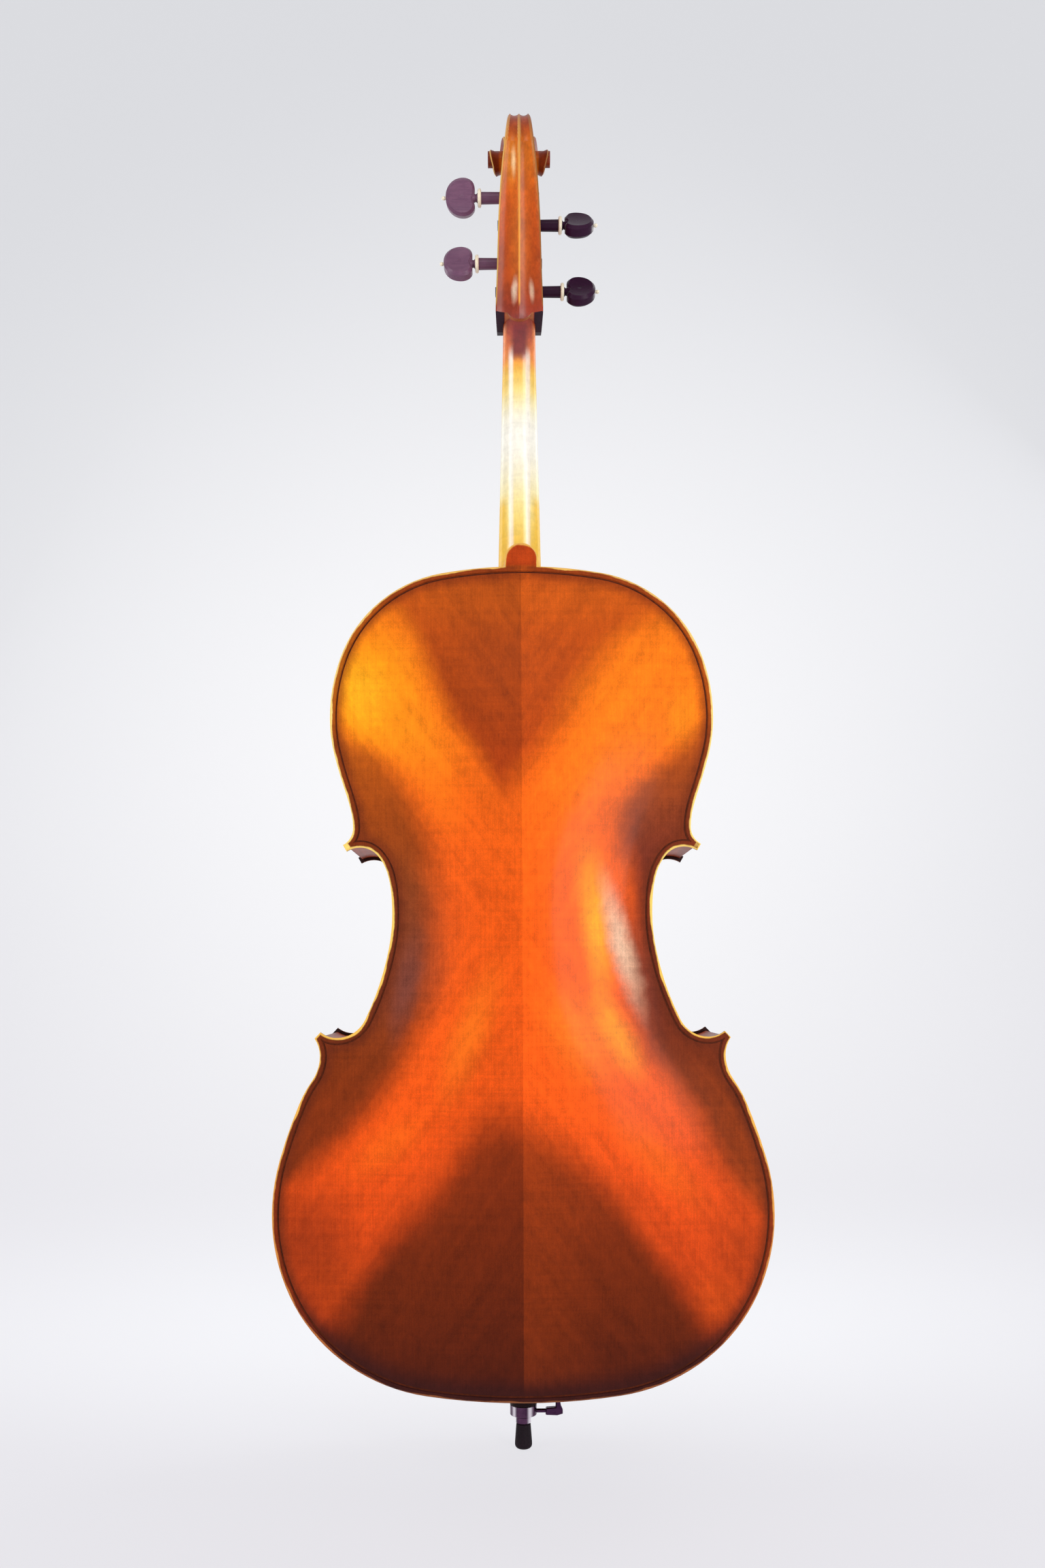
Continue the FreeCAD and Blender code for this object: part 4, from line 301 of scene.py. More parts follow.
class Varnish(Paint):
    """A varnished surface whose tone is laid on in the body's own millimetres."""

    def __init__(self, name, **constants):
        super().__init__(name, **{**VARNISH, **constants})
        self.bass = self.math("MULTIPLY", self.x, -1000.0)
        self.high = self.math("MULTIPLY_ADD", self.z, 1000.0, FOOT_HIGH - BODY_LOW * 1000)
        self.slope = self.math("ABSOLUTE", self.nx)

    def inset(self):
        """The distance from the plate's edge."""
        made = self.node("ShaderNodeAttribute")
        made.attribute_name = "inset"
        return self.math("MULTIPLY", made.outputs["Fac"], 1000.0)

    def wander(self, value, scale, amount, seed):
        """A value moved about by a slow noise."""
        place = self.node("ShaderNodeMapping", Vector=self.place, Location=(seed, seed, seed))
        cloud = self.noise(place.outputs[0], scale, 4.0, 0.6)
        return self.math("MULTIPLY_ADD", self.math("SUBTRACT", cloud, 0.5), amount, value)

    def profile(self, value, pairs, low=0.0, high=900.0, least=-50.0, most=250.0):
        """A smooth curve through pairs of millimetres; the limits hold all of the pairs."""
        made = self.node("ShaderNodeFloatCurve",
                         Value=self.math("DIVIDE", self.math("SUBTRACT", value, low), high - low))
        curve = made.mapping.curves[0]
        made.mapping.extend = "HORIZONTAL"
        places = [((x - low) / (high - low), (y - least) / (most - least)) for x, y in pairs]
        while len(curve.points) < len(places):
            curve.points.new(0.5, 0.5)
        for point, place in zip(curve.points, places):
            point.location = place
            point.handle_type = "AUTO"
        made.mapping.update()
        return self.math("MULTIPLY_ADD", made.outputs[0], most - least, least)

    def beyond(self, value, limit, soft):
        """One where a value is over a limit, nothing where it is under, softly between."""
        return self.step(self.math("SUBTRACT", value, limit), -soft, soft)

    def by_height(self, *stops):
        """A tone that changes with height: stops are (millimetres, colour)."""
        return self.ramp(self.high, *stops)

    def ramp(self, value, *stops):
        """A tone that changes with a value."""
        low, high = stops[0][0], stops[-1][0]
        made = self.node("ShaderNodeValToRGB",
                         Fac=self.math("DIVIDE", self.math("SUBTRACT", value, low), high - low))
        ramp = made.color_ramp
        ramp.interpolation = "B_SPLINE" if len(stops) > 3 else "EASE"
        while len(ramp.elements) < len(stops):
            ramp.elements.new(0.5)
        for element, (place, colour) in zip(ramp.elements, stops):
            element.position = (place - low) / (high - low)
            element.color = linear(colour)
        return made.outputs[0]

    def brushed_arms(self):
        """Faint streaks, brushed outward from the waist, alike on both sides."""
        aside = self.math("ABSOLUTE", self.x)
        above = self.math("ABSOLUTE", self.math("SUBTRACT", self.z, WAIST))
        cos, sin = math.cos(ARM_LEAN), math.sin(ARM_LEAN)
        across = self.math("SUBTRACT", self.math("MULTIPLY", aside, cos),
                           self.math("MULTIPLY", above, sin))
        along = self.math("ADD", self.math("MULTIPLY", aside, sin),
                          self.math("MULTIPLY", above, cos))
        place = self.vector(self.math("MULTIPLY", across, 70.0),
                            self.math("MULTIPLY", along, 6.0), self.math("MULTIPLY", self.x, 3.0))
        return self.step(self.noise(place, 1.0, 5.0, 0.65), 0.3, 0.7, -0.1, 0.1)

    def patched(self, tone, bass, high, patches):
        """A tone with soft oval patches of other tones, each strongest in its middle."""
        place = self.vector(bass, high, 0.0)
        for colour, middle, height, wide, tall, turn, strength in patches:
            made = self.node("ShaderNodeMapping", Vector=place)
            made.vector_type = "TEXTURE"
            made.inputs["Location"].default_value = (middle, height, 0)
            made.inputs["Rotation"].default_value = (0, 0, math.radians(turn))
            made.inputs["Scale"].default_value = (wide, tall, 1)
            size = self.node("ShaderNodeVectorMath", Vector=made.outputs[0])
            size.operation = "LENGTH"
            share = self.step(size.outputs["Value"], 0.0, 1.0, strength, 0.0)
            tone = self.mix(share, tone, linear(colour))
        return tone


def back_material():
    """The back: two halves of maple under an orange varnish, with painted highlights and painted
    shade laid into its colour, dark in the wedges.
    """
    paint = Varnish("back_varnished_maple")
    bass = paint.wander(paint.wander(paint.bass, 9, 16, 3.1), 60, 9, 5.7)
    high = paint.wander(paint.wander(paint.high, 9, 16, 1.3), 60, 9, 8.2)
    treble = paint.product(bass, -1.0)
    tone = paint.by_height((100, "a8340a"), (180, "c23f0c"), (260, "da4a0d"), (340, "ea540e"),
                           (430, "f45c0f"), (500, "f15a0e"), (570, "f4600f"), (630, "f4680f"),
                           (690, "f5780f"), (750, "f0760f"), (810, "c8600e"))
    # The bright arms of the X and the dark lobes at the lower corners: painted highlights and
    # painted shade.
    tone = paint.patched(tone, bass, high, BACK_ARMS)
    # The dark wedges: painted shade.
    crown = paint.product(paint.beyond(paint.profile(high, CROWN_TREBLE), treble, 15),
                          paint.beyond(paint.profile(high, CROWN_BASS), bass, 34))
    crown_tone = paint.by_height((570, "b03a0b"), (620, "a43608"), (700, "a23c08"),
                                 (760, "a84009"), (795, "c0540e"), (812, "983c0b"))
    tone = paint.mix(paint.product(crown, 0.94), tone, crown_tone)
    flank_treble = paint.beyond(treble, paint.profile(high, FLANK_TREBLE), 25)
    treble_tone = paint.by_height((260, "80300a"), (330, "782c08"), (400, "763008"),
                                  (450, "743824"), (520, "7a3a1a"), (570, "863a0c"),
                                  (620, "9c440c"), (670, "b8580f"))
    tone = paint.mix(paint.product(flank_treble, 0.95), tone, treble_tone)
    flank_bass = paint.beyond(bass, paint.profile(high, FLANK_BASS), 22)
    bass_tone = paint.by_height((240, "963a0b"), (300, "7c300a"), (350, "78300c"),
                                (410, "5a2212"), (480, "501c16"), (550, "5c221a"),
                                (600, "7c3418"), (640, "98400c"), (690, "a2460c"))
    tone = paint.mix(paint.product(flank_bass, 0.95), tone, bass_tone)
    foot = paint.beyond(paint.profile(bass, FOOT, low=-225, high=225, least=0, most=400), high, 34)
    foot_tone = paint.by_height((66, "2e0f0b"), (90, "491705"), (140, "5c1f04"),
                                (220, "6a2404"), (320, "8a3006"))
    tone = paint.mix(paint.product(foot, 0.95), tone, foot_tone)
    # The painted reflections on the waist.
    tone = paint.patched(tone, bass, high, BACK_PAINTED_REFLECTIONS)
    # The treble half took the stain a little darker; the halves meet in a straight line.
    half = paint.step(paint.x, -0.00015, 0.00015, 0.0, 1.0)
    near = paint.step(paint.math("ABSOLUTE", paint.x), 0.02, 0.11, 0.2, 0.05)
    tone = paint.mix(paint.product(half, near), tone, linear("3a0c02"))
    lighter = paint.product(paint.math("SUBTRACT", 1.0, half),
                            paint.step(paint.math("ABSOLUTE", paint.x), 0.0, 0.09, 0.07, 0.0))
    tone = paint.mix(lighter, tone, linear("f8641a"))
    # The edge: darker varnish in the channel, deepened by painted shade, and bright on the outer
    # bead.
    on_body = paint.step(paint.high, *BODY_TOP, 1.0, 0.0)
    ragged = paint.wander(paint.inset(), 30, 5, 2.2)
    channel = paint.product(paint.step(ragged, 5.0, 17.0, 0.72, 0.0), on_body)
    tone = paint.mix(channel, tone, paint.by_height((66, "2c0f12"), (200, "6a2708"),
                                                    (450, "5a2312"), (820, "7e2f08")))
    # Painted shade along the edge of the lower bout.
    low_edge = paint.product(paint.step(paint.high, 90, 190, 0.8, 0.0),
                             paint.step(ragged, 6.0, 30.0, 1.0, 0.0))
    tone = paint.mix(low_edge, tone, linear("35120f"))
    tone = paint.mix(paint.step(paint.high, *BUTTON_START), tone, linear("ab3a0a"))
    # Figure, grain, pores and clouds.
    flame = paint.noise(paint.stretched(9, 9, 240), 1.0, 3, 0.6, 0.3)
    figured = paint.noise(paint.place, 14, 2)
    flame_share = paint.product(paint.step(flame, 0.35, 0.65, -1.0, 1.0),
                                paint.step(figured, 0.3, 0.7, 0.01, 0.07))
    grain = paint.noise(paint.stretched(700, 700, 14), 1.0, 3, 0.65)
    grain_share = paint.step(grain, 0.3, 0.7, -0.075, 0.075)
    mottle = paint.noise(paint.stretched(1, 1, 0.7), 130, 4, 0.7)
    mottle_share = paint.step(mottle, 0.3, 0.7, -0.09, 0.09)
    speck = paint.noise(paint.place, 900, 2, 0.6)
    speck_share = paint.step(speck, 0.35, 0.7, -0.08, 0.08)
    tone = paint.varied(tone, flame_share, grain_share, paint.brushed_arms(), mottle_share,
                        speck_share)
    # A bright line along the outer bead, full on the plate's faces and fainter on the outer walls.
    bead = paint.product(paint.step(ragged, 0.9, 2.2, 1.0, 0.0),
                         paint.step(paint.math("ABSOLUTE", paint.ny), 0.1, 0.55, 0.4, 1.0))
    bead_tone = paint.by_height((66, "7a4a2c"), (150, "c46a30"), (300, "f0b050"), (500, "f7cd5c"),
                                (700, "fbe08a"), (842, "dfa240"))
    tone = paint.mix(bead, tone, bead_tone)
    fine = paint.math("ADD", grain, paint.product(speck, 0.5))
    return paint.finish(
        Base_Color=tone,
        Roughness=paint.step(mottle, 0.3, 0.7, 0.36, 0.46),
        Normal=paint.bump(fine, 0.00004, 0.25),
    )


def front_material():
    """The front: spruce under the same varnish, with its year rings straight down the body."""
    paint = Varnish("front_varnished_spruce")
    tone = paint.by_height((66, "8a360c"), (140, "a8460e"), (300, "c4600f"), (470, "d0701a"),
                           (640, "cc6813"), (760, "bb540f"), (821, "96400d"))
    year = paint.noise(paint.stretched(420, 420, 2.0), 1.0, 2, 0.5)
    fibre = paint.noise(paint.stretched(1800, 1800, 25), 1.0, 3, 0.6)
    cloud = paint.noise(paint.place, 11, 4, 0.6)
    tone = paint.varied(tone, paint.step(year, 0.42, 0.6, 0.08, -0.14),
                        paint.step(fibre, 0.3, 0.7, -0.05, 0.05),
                        paint.step(cloud, 0.3, 0.7, -0.12, 0.12))
    inset = paint.inset()
    ragged = paint.wander(inset, 30, 5, 4.4)
    # Darker varnish in the channel by the edge, deepened by painted shade.
    tone = paint.mix(paint.step(ragged, 4.0, 20.0, 0.7, 0.0), tone, linear("571f0a"))
    # Inside the body the wood is bare, with painted shade under the overhanging edge; the walls of
    # the sound holes are stained.
    inward = paint.step(paint.ny, 0.3, 0.6)
    inside = paint.product(inward, paint.step(inset, 4.0, 6.0))
    tone = paint.mix(inside, tone, linear("c79f68"))
    under = paint.product(inward, paint.step(inset, 4.0, 6.0, 1.0, 0.0))
    tone = paint.mix(under, tone, linear("2c1513"))
    wall = paint.product(paint.step(paint.math("ABSOLUTE", paint.ny), 0.4, 0.6, 1.0, 0.0),
                         paint.step(inset, 8.0, 10.0))
    tone = paint.mix(wall, tone, linear("3d1c0e"))
    bead = paint.product(paint.step(ragged, 0.9, 2.2, 0.9, 0.0),
                         paint.step(paint.ny, -0.2, 0.1, 1.0, 0.0))
    tone = paint.mix(bead, tone, linear("c9873f"))
    height = paint.math("ADD", year, paint.product(fibre, 0.4))
    return paint.finish(
        Base_Color=tone,
        Roughness=paint.step(cloud, 0.3, 0.7, 0.34, 0.44),
        Normal=paint.bump(height, 0.00006, 0.3),
    )


def rib_material():
    """The ribs: thin maple whose flame crosses them, under the same varnish."""
    paint = Varnish("rib_varnished_maple")
    tone = paint.by_height((66, "6a230a"), (200, "96390c"), (450, "8e350d"), (640, "a8460d"),
                           (821, "8a340c"))
    flame = paint.noise(paint.stretched(130, 9, 130), 1.0, 3, 0.55, 0.35)
    grain = paint.noise(paint.stretched(60, 1500, 60), 1.0, 3, 0.6)
    cloud = paint.noise(paint.place, 16, 4, 0.6)
    tone = paint.varied(tone, paint.step(flame, 0.35, 0.65, -0.17, 0.2),
                        paint.step(grain, 0.3, 0.7, -0.05, 0.05),
                        paint.step(cloud, 0.3, 0.7, -0.12, 0.12))
    # Darker beside the plates: painted shade under their overhanging edges.
    depth = paint.math("ABSOLUTE", paint.y)
    edge = paint.step(depth, BACK_PLANE - 0.007, BACK_PLANE, 0.0, 0.55)
    return paint.finish(
        Base_Color=paint.mix(edge, tone, linear("3a120a")),
        Roughness=paint.step(cloud, 0.3, 0.7, 0.32, 0.42),
        Normal=paint.bump(grain, 0.00004, 0.3),
    )


def neck_material():
    """The neck and head: maple, pale along the neck and brightened there by painted highlight, with
    painted red shade below the pegbox.
    """
    paint = Varnish("neck_varnished_maple", Coat_Roughness=0.24, Coat_IOR=1.6)
    high = paint.wander(paint.high, 20, 8, 2.7)
    tone = paint.ramp(high, *NECK_TONES)
    aside = paint.product(paint.math("ABSOLUTE", paint.x), 1000.0)
    # The dark red heart of the painted shade under the chin, and its lighter sides.
    band = paint.between(high, (1046, 1058), (1074, 1082))
    heart = paint.product(band, paint.step(aside, 4.0, 11.0, 0.95, 0.0))
    tone = paint.mix(heart, tone, linear("761c1e"))
    flank = paint.product(band, paint.step(aside, 11.0, 14.5, 0.0, 0.7))
    tone = paint.mix(flank, tone, linear("f08a3c"))
    # Yellow sides at both ends of the pale middle.
    for low, top in ((862, 932), (1016, 1052)):
        side = paint.product(paint.between(high, (low, low + 16), (top - 16, top)),
                             paint.step(paint.wander(aside, 30, 6, 3.3), 10.0, 17.0), 0.85)
        tone = paint.mix(side, tone, linear("eebc1e"))
    # Two soft painted highlights along the neck, as pale stripes.
    off = paint.math("ABSOLUTE", paint.math("SUBTRACT", paint.wander(aside, 25, 0.8, 5.5), 8.3))
    neck_highlight = paint.product(paint.step(off, 0.8, 3.4, 0.62, 0.0),
                           paint.between(high, (842, 866), (1052, 1064)))
    tone = paint.mix(neck_highlight, tone, linear("f1ece2"))
    # Paler and darker patches on the head: the pale ones are painted highlights, the others tones
    # in the varnish.
    tone = paint.patched(tone, paint.wander(paint.bass, 60, 3, 4.9),
                         paint.wander(paint.high, 60, 6, 7.7), HEAD_PATCHES)
    head = paint.step(paint.high, *HEAD_START)
    # Painted shade: the cheeks and the ears' turns, which face sideways, are darker than the back.
    cheek = paint.product(head, paint.step(paint.slope, 0.8, 0.95))
    tone = paint.mix(paint.product(cheek, 0.7), tone, linear("8a3014"))
    ears = paint.product(cheek, paint.step(paint.high, 1180, 1200), 0.6)
    tone = paint.mix(ears, tone, linear("702018"))
    rims = paint.product(paint.step(aside, 17.5, 19.5), paint.step(paint.high, 1176, 1186), 0.85)
    tone = paint.mix(rims, tone, linear("6e2010"))
    # Darker parts: the pegbox's hollow, and the shoulders' undersides in near black.
    front = paint.product(head, paint.step(paint.ny, -0.6, -0.3, 0.5, 0.0))
    tone = paint.mix(front, tone, linear("6e2410"))
    under = paint.product(paint.step(paint.nz, -0.65, -0.45, 1.0, 0.0),
                          paint.step(aside, 13.6, 14.8),
                          paint.between(paint.high, (1066, 1070), (1100, 1104)))
    tone = paint.mix(under, tone, linear("2c1426"))
    # The chin's lower rim.
    chin = paint.product(paint.step(paint.nz, -0.75, -0.5, 0.5, 0.0),
                         paint.step(aside, 13.0, 14.0, 1.0, 0.0),
                         paint.step(paint.high, 1066, 1069),
                         paint.step(paint.ny, 0.25, 0.4, 1.0, 0.0))
    tone = paint.mix(chin, tone, linear("c07c48"))
    # Flame, grain and clouds.
    flame = paint.noise(paint.stretched(14, 14, 170), 1.0, 3, 0.6, 0.3)
    grain = paint.noise(paint.stretched(800, 800, 16), 1.0, 3, 0.65)
    mottle = paint.noise(paint.place, 160, 4, 0.7)
    blotch = paint.noise(paint.stretched(1, 1, 0.6), 75, 5, 0.75)
    blotch_share = paint.product(paint.step(blotch, 0.35, 0.65, -0.2, 0.2),
                                 paint.step(paint.high, 1030, 1080, 0.15, 1.0))
    tone = paint.varied(tone, blotch_share, paint.step(flame, 0.35, 0.65, -0.03, 0.03),
                        paint.step(grain, 0.3, 0.7, -0.035, 0.035),
                        paint.step(mottle, 0.3, 0.7, -0.05, 0.05))
    # Painted highlights: bright lines on the ridge between the flutes and on the bevels along their
    # edges.
    ragged = paint.wander(aside, 60, 0.7, 6.1)
    ridge = paint.product(head, paint.step(ragged, 0.5, 1.3, 0.8, 0.0))
    tone = paint.mix(ridge, tone, linear("eda038"))
    bevel = paint.product(paint.between(paint.slope, (0.36, 0.6), (0.76, 0.95)), head)
    tone = paint.mix(paint.product(bevel, 0.85), tone,
                     paint.by_height((1084, "c09050"), (1160, "e2bc5c"), (1230, "dba860"),
                                     (1255, "a0563c")))
    # Painted shade on the bevels of the bass side.
    shaded = paint.product(bevel, paint.step(paint.x, -0.002, 0.002, 0.75, 0.0))
    tone = paint.mix(shaded, tone, linear("7a3410"))
    return paint.finish(
        Base_Color=tone,
        Roughness=paint.step(mottle, 0.3, 0.7, 0.3, 0.4),
        Coat_Weight=paint.product(paint.step(under, 0.1, 0.5, 1.0, 0.0),
                                  paint.step(paint.slope, 0.7, 0.93, 1.0, 0.1),
                                  paint.step(paint.high, 1066, 1088, 1.0, 0.25)),
        Normal=paint.bump(grain, 0.00003, 0.25),
    )


def wood(name, light, dark, rough, lines=(900, 900, 25), depth=0.00005, share=0.5, **constants):
    """Wood, bone, cord or rubber: streaks that run one way, clouds and fine pores."""
    paint = Paint(name, **constants)
    grain = paint.noise(paint.stretched(*lines), 1.0, 4, 0.65)
    cloud = paint.noise(paint.place, 40, 4, 0.6)
    pores = paint.noise(paint.place, 1600, 2, 0.6)
    streak = paint.step(grain, 0.35, 0.68, 0.0, share)
    tone = paint.mix(streak, linear(light), linear(dark))
    tone = paint.mix(paint.step(cloud, 0.35, 0.7, 0.0, 0.4), tone, linear(dark))
    tone = paint.mix(paint.step(pores, 0.55, 0.75, 0.0, 0.3), tone, linear(dark))
    height = paint.math("ADD", grain, paint.product(pores, 0.4))
    return paint.finish(
        Base_Color=tone,
        Roughness=paint.step(grain, 0.3, 0.7, rough - 0.06, rough + 0.08),
        Normal=paint.bump(height, depth, 0.3),
    )


def metal(name, light, dark, rough, lines=(400, 400, 4000), wound=0.0, painted_highlights=(), **constants):
    """A drawn, turned or wound metal: fine brushed lines and dull patches. `wound` is the
    distance from one turn of winding to the next, or 0 for metal that is not wound."""
    paint = Paint(name, **{"Metallic": 1.0, **constants})
    brushed = paint.noise(paint.stretched(*lines), 1.0, 3, 0.6)
    dull = paint.noise(paint.place, 90, 4, 0.6)
    tone = paint.mix(paint.step(dull, 0.35, 0.7, 0.0, 0.7), linear(light), linear(dark))
    # Painted highlights, soft pale bands on the metal: each place is its middle and its half width
    # aside.
    for middle, half in painted_highlights:
        off = paint.math("ABSOLUTE", paint.math("SUBTRACT", paint.x, middle))
        tone = paint.mix(paint.step(off, 0.0, half, 0.9, 0.0), tone, linear("ece4ec"))
    height = brushed
    if wound:
        turn = paint.math("SINE", paint.product(paint.z, 2 * math.pi / wound))
        tone = paint.mix(paint.step(turn, -1.0, 0.2, 0.5, 0.0), tone, linear(dark))
        height = paint.math("ADD", turn, paint.product(brushed, 0.3))
    return paint.finish(
        Base_Color=tone,
        Roughness=paint.step(paint.math("ADD", brushed, dull), 0.7, 1.3, rough - 0.06, rough + 0.1),
        Normal=paint.bump(height, wound * 0.12 if wound else 0.00001, 0.5),
    )


# ---------------------------------------------------------------- every piece's material

STRINGS = "adgc"

for plate, slot, material in (("back", "back_maple", back_material()),
                              ("front", "front_spruce", front_material())):
    for side in ("treble", "bass"):
        varnished_copy(f"{plate}_{side}_half", material)
dress(rib_material(),
      *[f"rib_{bout}_{side}" for bout in ("lower", "waist", "upper")
        for side in ("bass", "treble")])
dress(wood("purfling_wood", "56200a", "240c04", 0.5, (300, 300, 300), Specular_IOR_Level=0.08),
      "purfling_back", "purfling_front")
dress(wood("bare_spruce", "dcbf8c", "b88a50", 0.65, (500, 500, 9)),
      "top_block", "bottom_block", "corner_blocks", "bass_bar", "sound_post")
dress(wood("bare_willow", "e2cba0", "c09c64", 0.65, (60, 700, 60)), "linings_back", "linings_front")
dress(wood("bridge_maple", "dcb276", "a8733a", 0.5, (140, 500, 900), 0.00004, 0.6), "bridge")
dress(neck_material(), "neck_scroll")
ebony = wood("ebony", "1d1518", "0b0809", 0.3, (900, 900, 12), 0.00004, 0.6,
             Specular_IOR_Level=0.35)
dress(ebony, "fingerboard", "nut", "saddle", "tailpiece")
dress(wood("plug_ebony", "200f12", "0e0608", 0.34, (900, 900, 30), 0.00004,
           Specular_IOR_Level=0.08), "endpin_plug")
# The pegs are two copies of one rosewood: the A and D pegs a lit copy, the G and C pegs a shaded
# copy, painted light and shade.
for light, dark, shine, pegs in (("765068", "563650", 0.25, ("peg_a", "peg_d")),
                                 ("341630", "220d1e", 0.1, ("peg_g", "peg_c"))):
    dress(wood(f"{pegs[0]}_rosewood_painted_lighting", light, dark, 0.3, (40, 900, 900), 0.00004, 0.5,
               Specular_IOR_Level=shine), *pegs)
dress(wood("bone", "f6eed8", "dccba4", 0.32, (200, 1500, 1500), 0.00002, 0.4),
      *[f"peg_trim_{name}" for name in STRINGS])
dress(wood("tailgut_cord", "26211f", "100e0e", 0.45, (1200, 1200, 500), 0.00005), "tailgut")
for name, wound in (("a", 0.0007), ("d", 0.0008), ("g", 0.0009), ("c", 0.001)):
    dress(metal(f"string_winding_{name}", "c8c6c8", "77757c", 0.28, wound=wound), f"string_{name}")
dress(metal("coil_winding", "b8a8b0", "66525e", 0.34, (3000, 300, 300)),
      *[f"string_coil_{name}" for name in STRINGS])
dress(metal("ball_brass", "d0a85c", "8a6a34", 0.3, (600, 600, 600)),
      *[f"string_ball_{name}" for name in STRINGS])
dress(metal("rod_steel", "c4c3c8", "85838c", 0.22), "endpin_rod", "tuner_pin")
# The collar's two pale bands are painted highlights.
dress(metal("collar_metal", "5e3f5a", "321c34", 0.16, (300, 300, 3000),
            painted_highlights=((0.0088, 0.0026), (-0.0062, 0.0034))), "endpin_ferrule")
dress(metal("screw_metal", "4a2c4a", "2c162e", 0.2, (3000, 300, 300)), "endpin_screw")
dress(metal("tuner_metal", "4b484d", "26242a", 0.3, (900, 900, 900)),
      *[f"tuner_{part}_{name}" for part in ("lever", "screw") for name in STRINGS])
dress(wood("rubber", "1c0f18", "0f080d", 0.62, (700, 700, 700), 0.00008,
           Specular_IOR_Level=0.15), "endpin_tip")

# ---------------------------------------------------------------- studio and camera

AIR_LEVEL = 0.6  # strength of the even light from all round
CAMERA_ROLL = math.radians(0.21)  # the instrument leans this little in the picture
EYE = Vector((0.011, BACK_PLANE + 1.205, 0.441))  # where the camera stands
PAPER_SEEN = 0.85  # share of the paper's own glow in what is seen; the rest takes real light
SWEEP_RADIUS = 0.6  # of the curve between the floor and the backdrop
SWEEP_HALF = 6.0  # half the sweep's width, and its reach towards the camera
SWEEP_BACK = -2.2  # where the backdrop stands
SWEEP_HIGH = 4.5  # the backdrop's height
SWEEP_STEPS = 12  # faces in the curve
# Each lamp: name, place, the point it is turned to, size and watts.
LAMPS = (
    ("key", (-1.35, 1.9, 0.72), (0, 0, 0.6), (0.9, 1.3), 22),
    ("fill", (2.3, 1.4, 0.9), (0, 0, 0.6), (1.0, 1.6), 20),
    ("over", (0, 2.6, 2.6), (0, 0, 0.5), (1.6, 0.6), 10),
    ("front_key", (-1.6, -1.6, 2.2), (0, 0, 0.6), (0.8, 1.4), 17),
    ("front_fill", (1.8, -1.5, 1.6), (0, 0, 0.6), (0.8, 1.4), 13),
)


def paper_material():
    """Pale paper with two soft pools of light as seen from the camera's place; it still takes a
    faint share of real light, so that the instrument's shadow stays on the floor."""
    paint = Paint("studio_paper", Roughness=0.95)
    place = paint.node("ShaderNodeNewGeometry").outputs["Position"]
    x, y, z = paint.node("ShaderNodeSeparateXYZ", Vector=place).outputs
    deep = paint.math("MAXIMUM", paint.math("SUBTRACT", EYE.y, y), 0.2)
    aside = paint.math("DIVIDE", paint.math("SUBTRACT", EYE.x, x), deep)
    up = paint.math("DIVIDE", paint.math("SUBTRACT", z, EYE.z), deep)

    def pool(middle, wide, tall, strength):
        """A soft pool of light on the axis: its middle and half sizes, as slopes from the eye."""
        flat = paint.vector(paint.math("DIVIDE", aside, wide),
                            paint.math("DIVIDE", paint.math("SUBTRACT", up, middle), tall), 0.0)
        size = paint.node("ShaderNodeVectorMath", Vector=flat)
        size.operation = "LENGTH"
        return paint.step(size.outputs["Value"], 0.0, 1.0, strength, 0.0)

    tone = paint.mix(paint.step(up, -0.35, 0.45), linear("e8e7ec"), linear("dedfe3"))
    tone = paint.mix(pool(0.165, 0.62, 0.56, 1.0), tone, linear("fcfcfe"))
    tone = paint.mix(pool(-0.262, 0.75, 0.13, 0.95), tone, linear("fafbff"))
    paint.feed(paint.shader.inputs["Base Color"], paint.mix(0.5, tone, linear("e9e9ee")))
    paint.feed(paint.shader.inputs["Specular IOR Level"], 0.0)
    glow = paint.node("ShaderNodeEmission", Color=tone).outputs[0]
    path = paint.node("ShaderNodeLightPath")
    seen = paint.math("MAXIMUM", paint.math("MAXIMUM", path.outputs["Is Camera Ray"],
                                            path.outputs["Is Glossy Ray"]),
                      path.outputs["Is Transmission Ray"])
    blend = paint.node("ShaderNodeMixShader", Fac=paint.product(seen, PAPER_SEEN))
    paint.feed(blend.inputs[1], paint.shader.outputs[0])
    paint.feed(blend.inputs[2], glow)
    paint.feed(paint.tree.nodes["Material Output"].inputs["Surface"], blend.outputs[0])
    return paint.material


def studio():
    """A pale sweep: floor and backdrop in one curved sheet."""
    line = [(SWEEP_HALF, 0.0), (SWEEP_BACK + SWEEP_RADIUS, 0.0)]
    for index in range(1, SWEEP_STEPS + 1):
        angle = math.pi / 2 * index / SWEEP_STEPS
        line.append((SWEEP_BACK + SWEEP_RADIUS * (1 - math.sin(angle)),
                     SWEEP_RADIUS * (1 - math.cos(angle))))
    line.append((SWEEP_BACK, SWEEP_HIGH))
    vertices = [(side * SWEEP_HALF, y, z) for y, z in line for side in (-1, 1)]
    faces = [(2 * i, 2 * i + 1, 2 * i + 3, 2 * i + 2) for i in range(len(line) - 1)]
    mesh = bpy.data.meshes.new("studio_sweep")
    mesh.from_pydata(vertices, [], faces)
    for polygon in mesh.polygons:
        polygon.use_smooth = True
    sweep = bpy.data.objects.new("studio_sweep", mesh)
    bpy.context.scene.collection.objects.link(sweep)
    mesh.materials.append(paper_material())


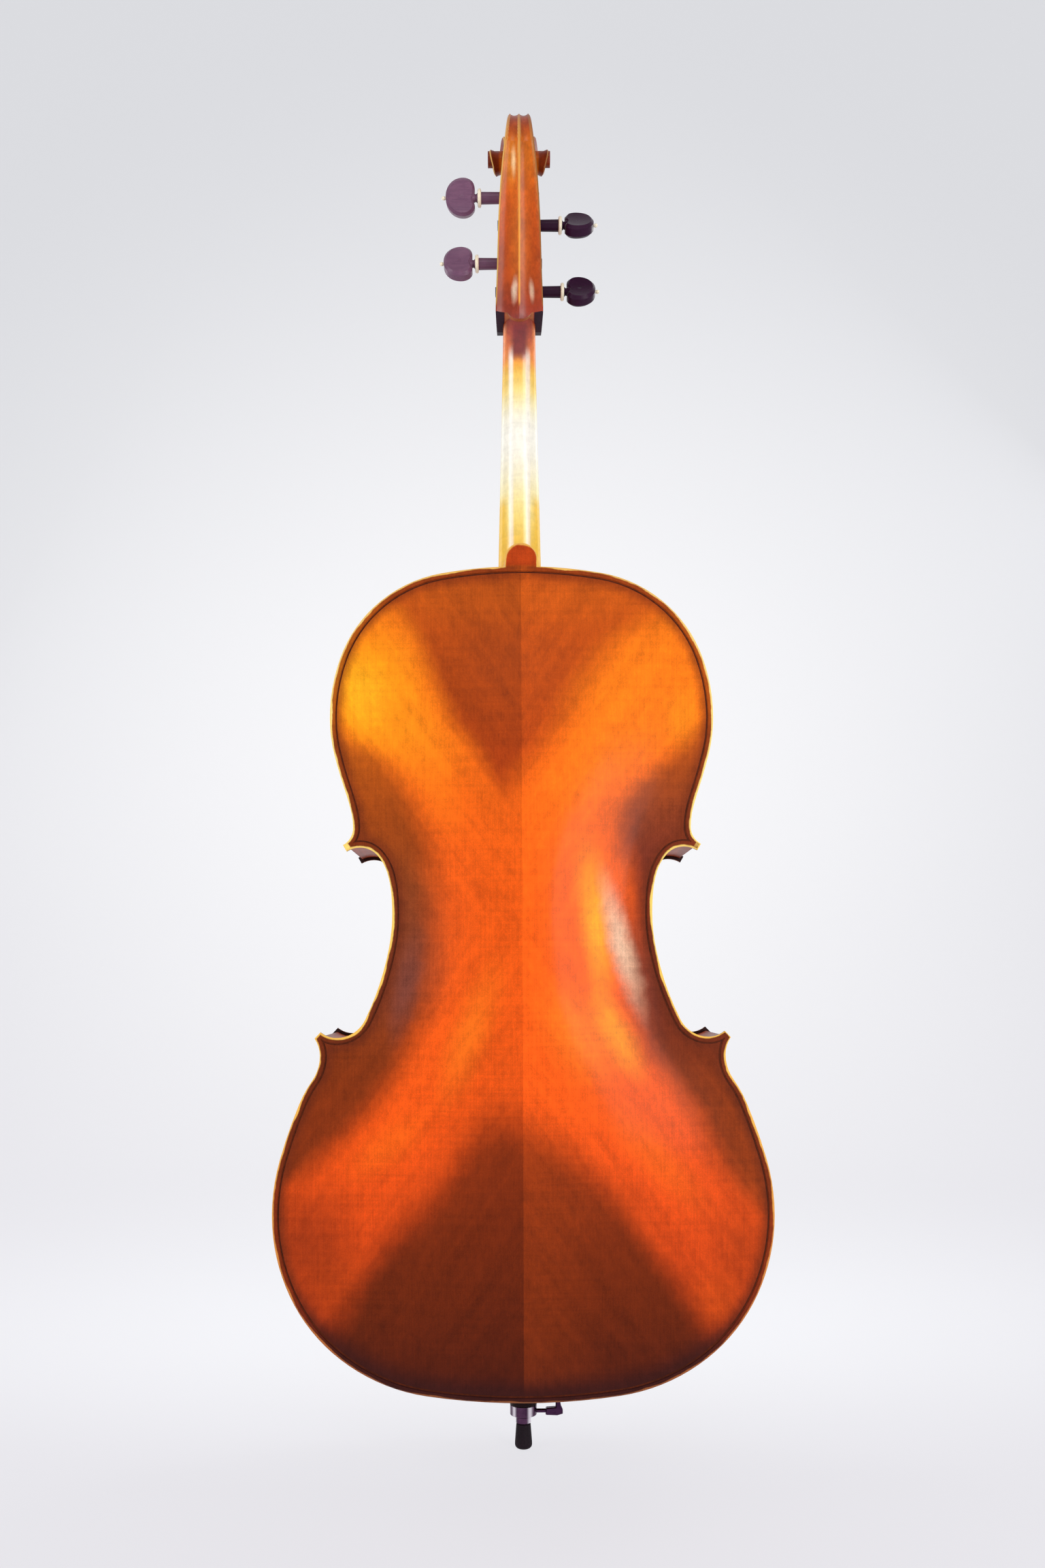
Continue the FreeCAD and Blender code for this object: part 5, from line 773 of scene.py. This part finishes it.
def softbox(name, place, aim, size, power):
    """A rectangular studio lamp at a place, turned towards a point."""
    lamp = bpy.data.lights.new(name, "AREA")
    lamp.shape = "RECTANGLE"
    lamp.size, lamp.size_y = size
    lamp.energy = power
    made = bpy.data.objects.new(name, lamp)
    bpy.context.scene.collection.objects.link(made)
    made.location = place
    made.rotation_mode = "QUATERNION"
    made.rotation_quaternion = (Vector(aim) - Vector(place)).to_track_quat("-Z", "Y")


def world():
    """Level white air as light, and a pale background where it is seen or mirrored."""
    sky = bpy.data.worlds.new("studio_air")
    bpy.context.scene.world = sky
    sky.use_nodes = True
    tree = sky.node_tree
    air = tree.nodes["Background"]
    air.inputs["Color"].default_value = (1, 1, 1, 1)
    air.inputs["Strength"].default_value = AIR_LEVEL
    backdrop = tree.nodes.new("ShaderNodeBackground")
    backdrop.inputs["Color"].default_value = linear("e4e4e8")
    path = tree.nodes.new("ShaderNodeLightPath")
    seen = path.outputs["Is Camera Ray"]
    for ray in ("Is Glossy Ray", "Is Transmission Ray"):
        either = tree.nodes.new("ShaderNodeMath")
        either.operation = "MAXIMUM"
        tree.links.new(seen, either.inputs[0])
        tree.links.new(path.outputs[ray], either.inputs[1])
        seen = either.outputs[0]
    blend = tree.nodes.new("ShaderNodeMixShader")
    tree.links.new(seen, blend.inputs[0])
    tree.links.new(air.outputs[0], blend.inputs[1])
    tree.links.new(backdrop.outputs[0], blend.inputs[2])
    tree.links.new(blend.outputs[0], tree.nodes["World Output"].inputs["Surface"])


def camera():
    """The view: from behind the instrument, level, low on its axis."""
    data = bpy.data.cameras.new("camera")
    data.lens = 30.59
    data.sensor_width = 36.0
    data.shift_x = 0.0078
    data.shift_y = 0.127
    made = bpy.data.objects.new("camera", data)
    bpy.context.scene.collection.objects.link(made)
    made.location = EYE
    made.rotation_euler = (math.radians(90), CAMERA_ROLL, math.radians(180))
    data.clip_start, data.clip_end = 0.05, 50
    bpy.context.scene.camera = made


studio()
world()
for lamp in LAMPS:
    softbox(*lamp)
camera()
bpy.context.scene.view_settings.view_transform = "Standard"
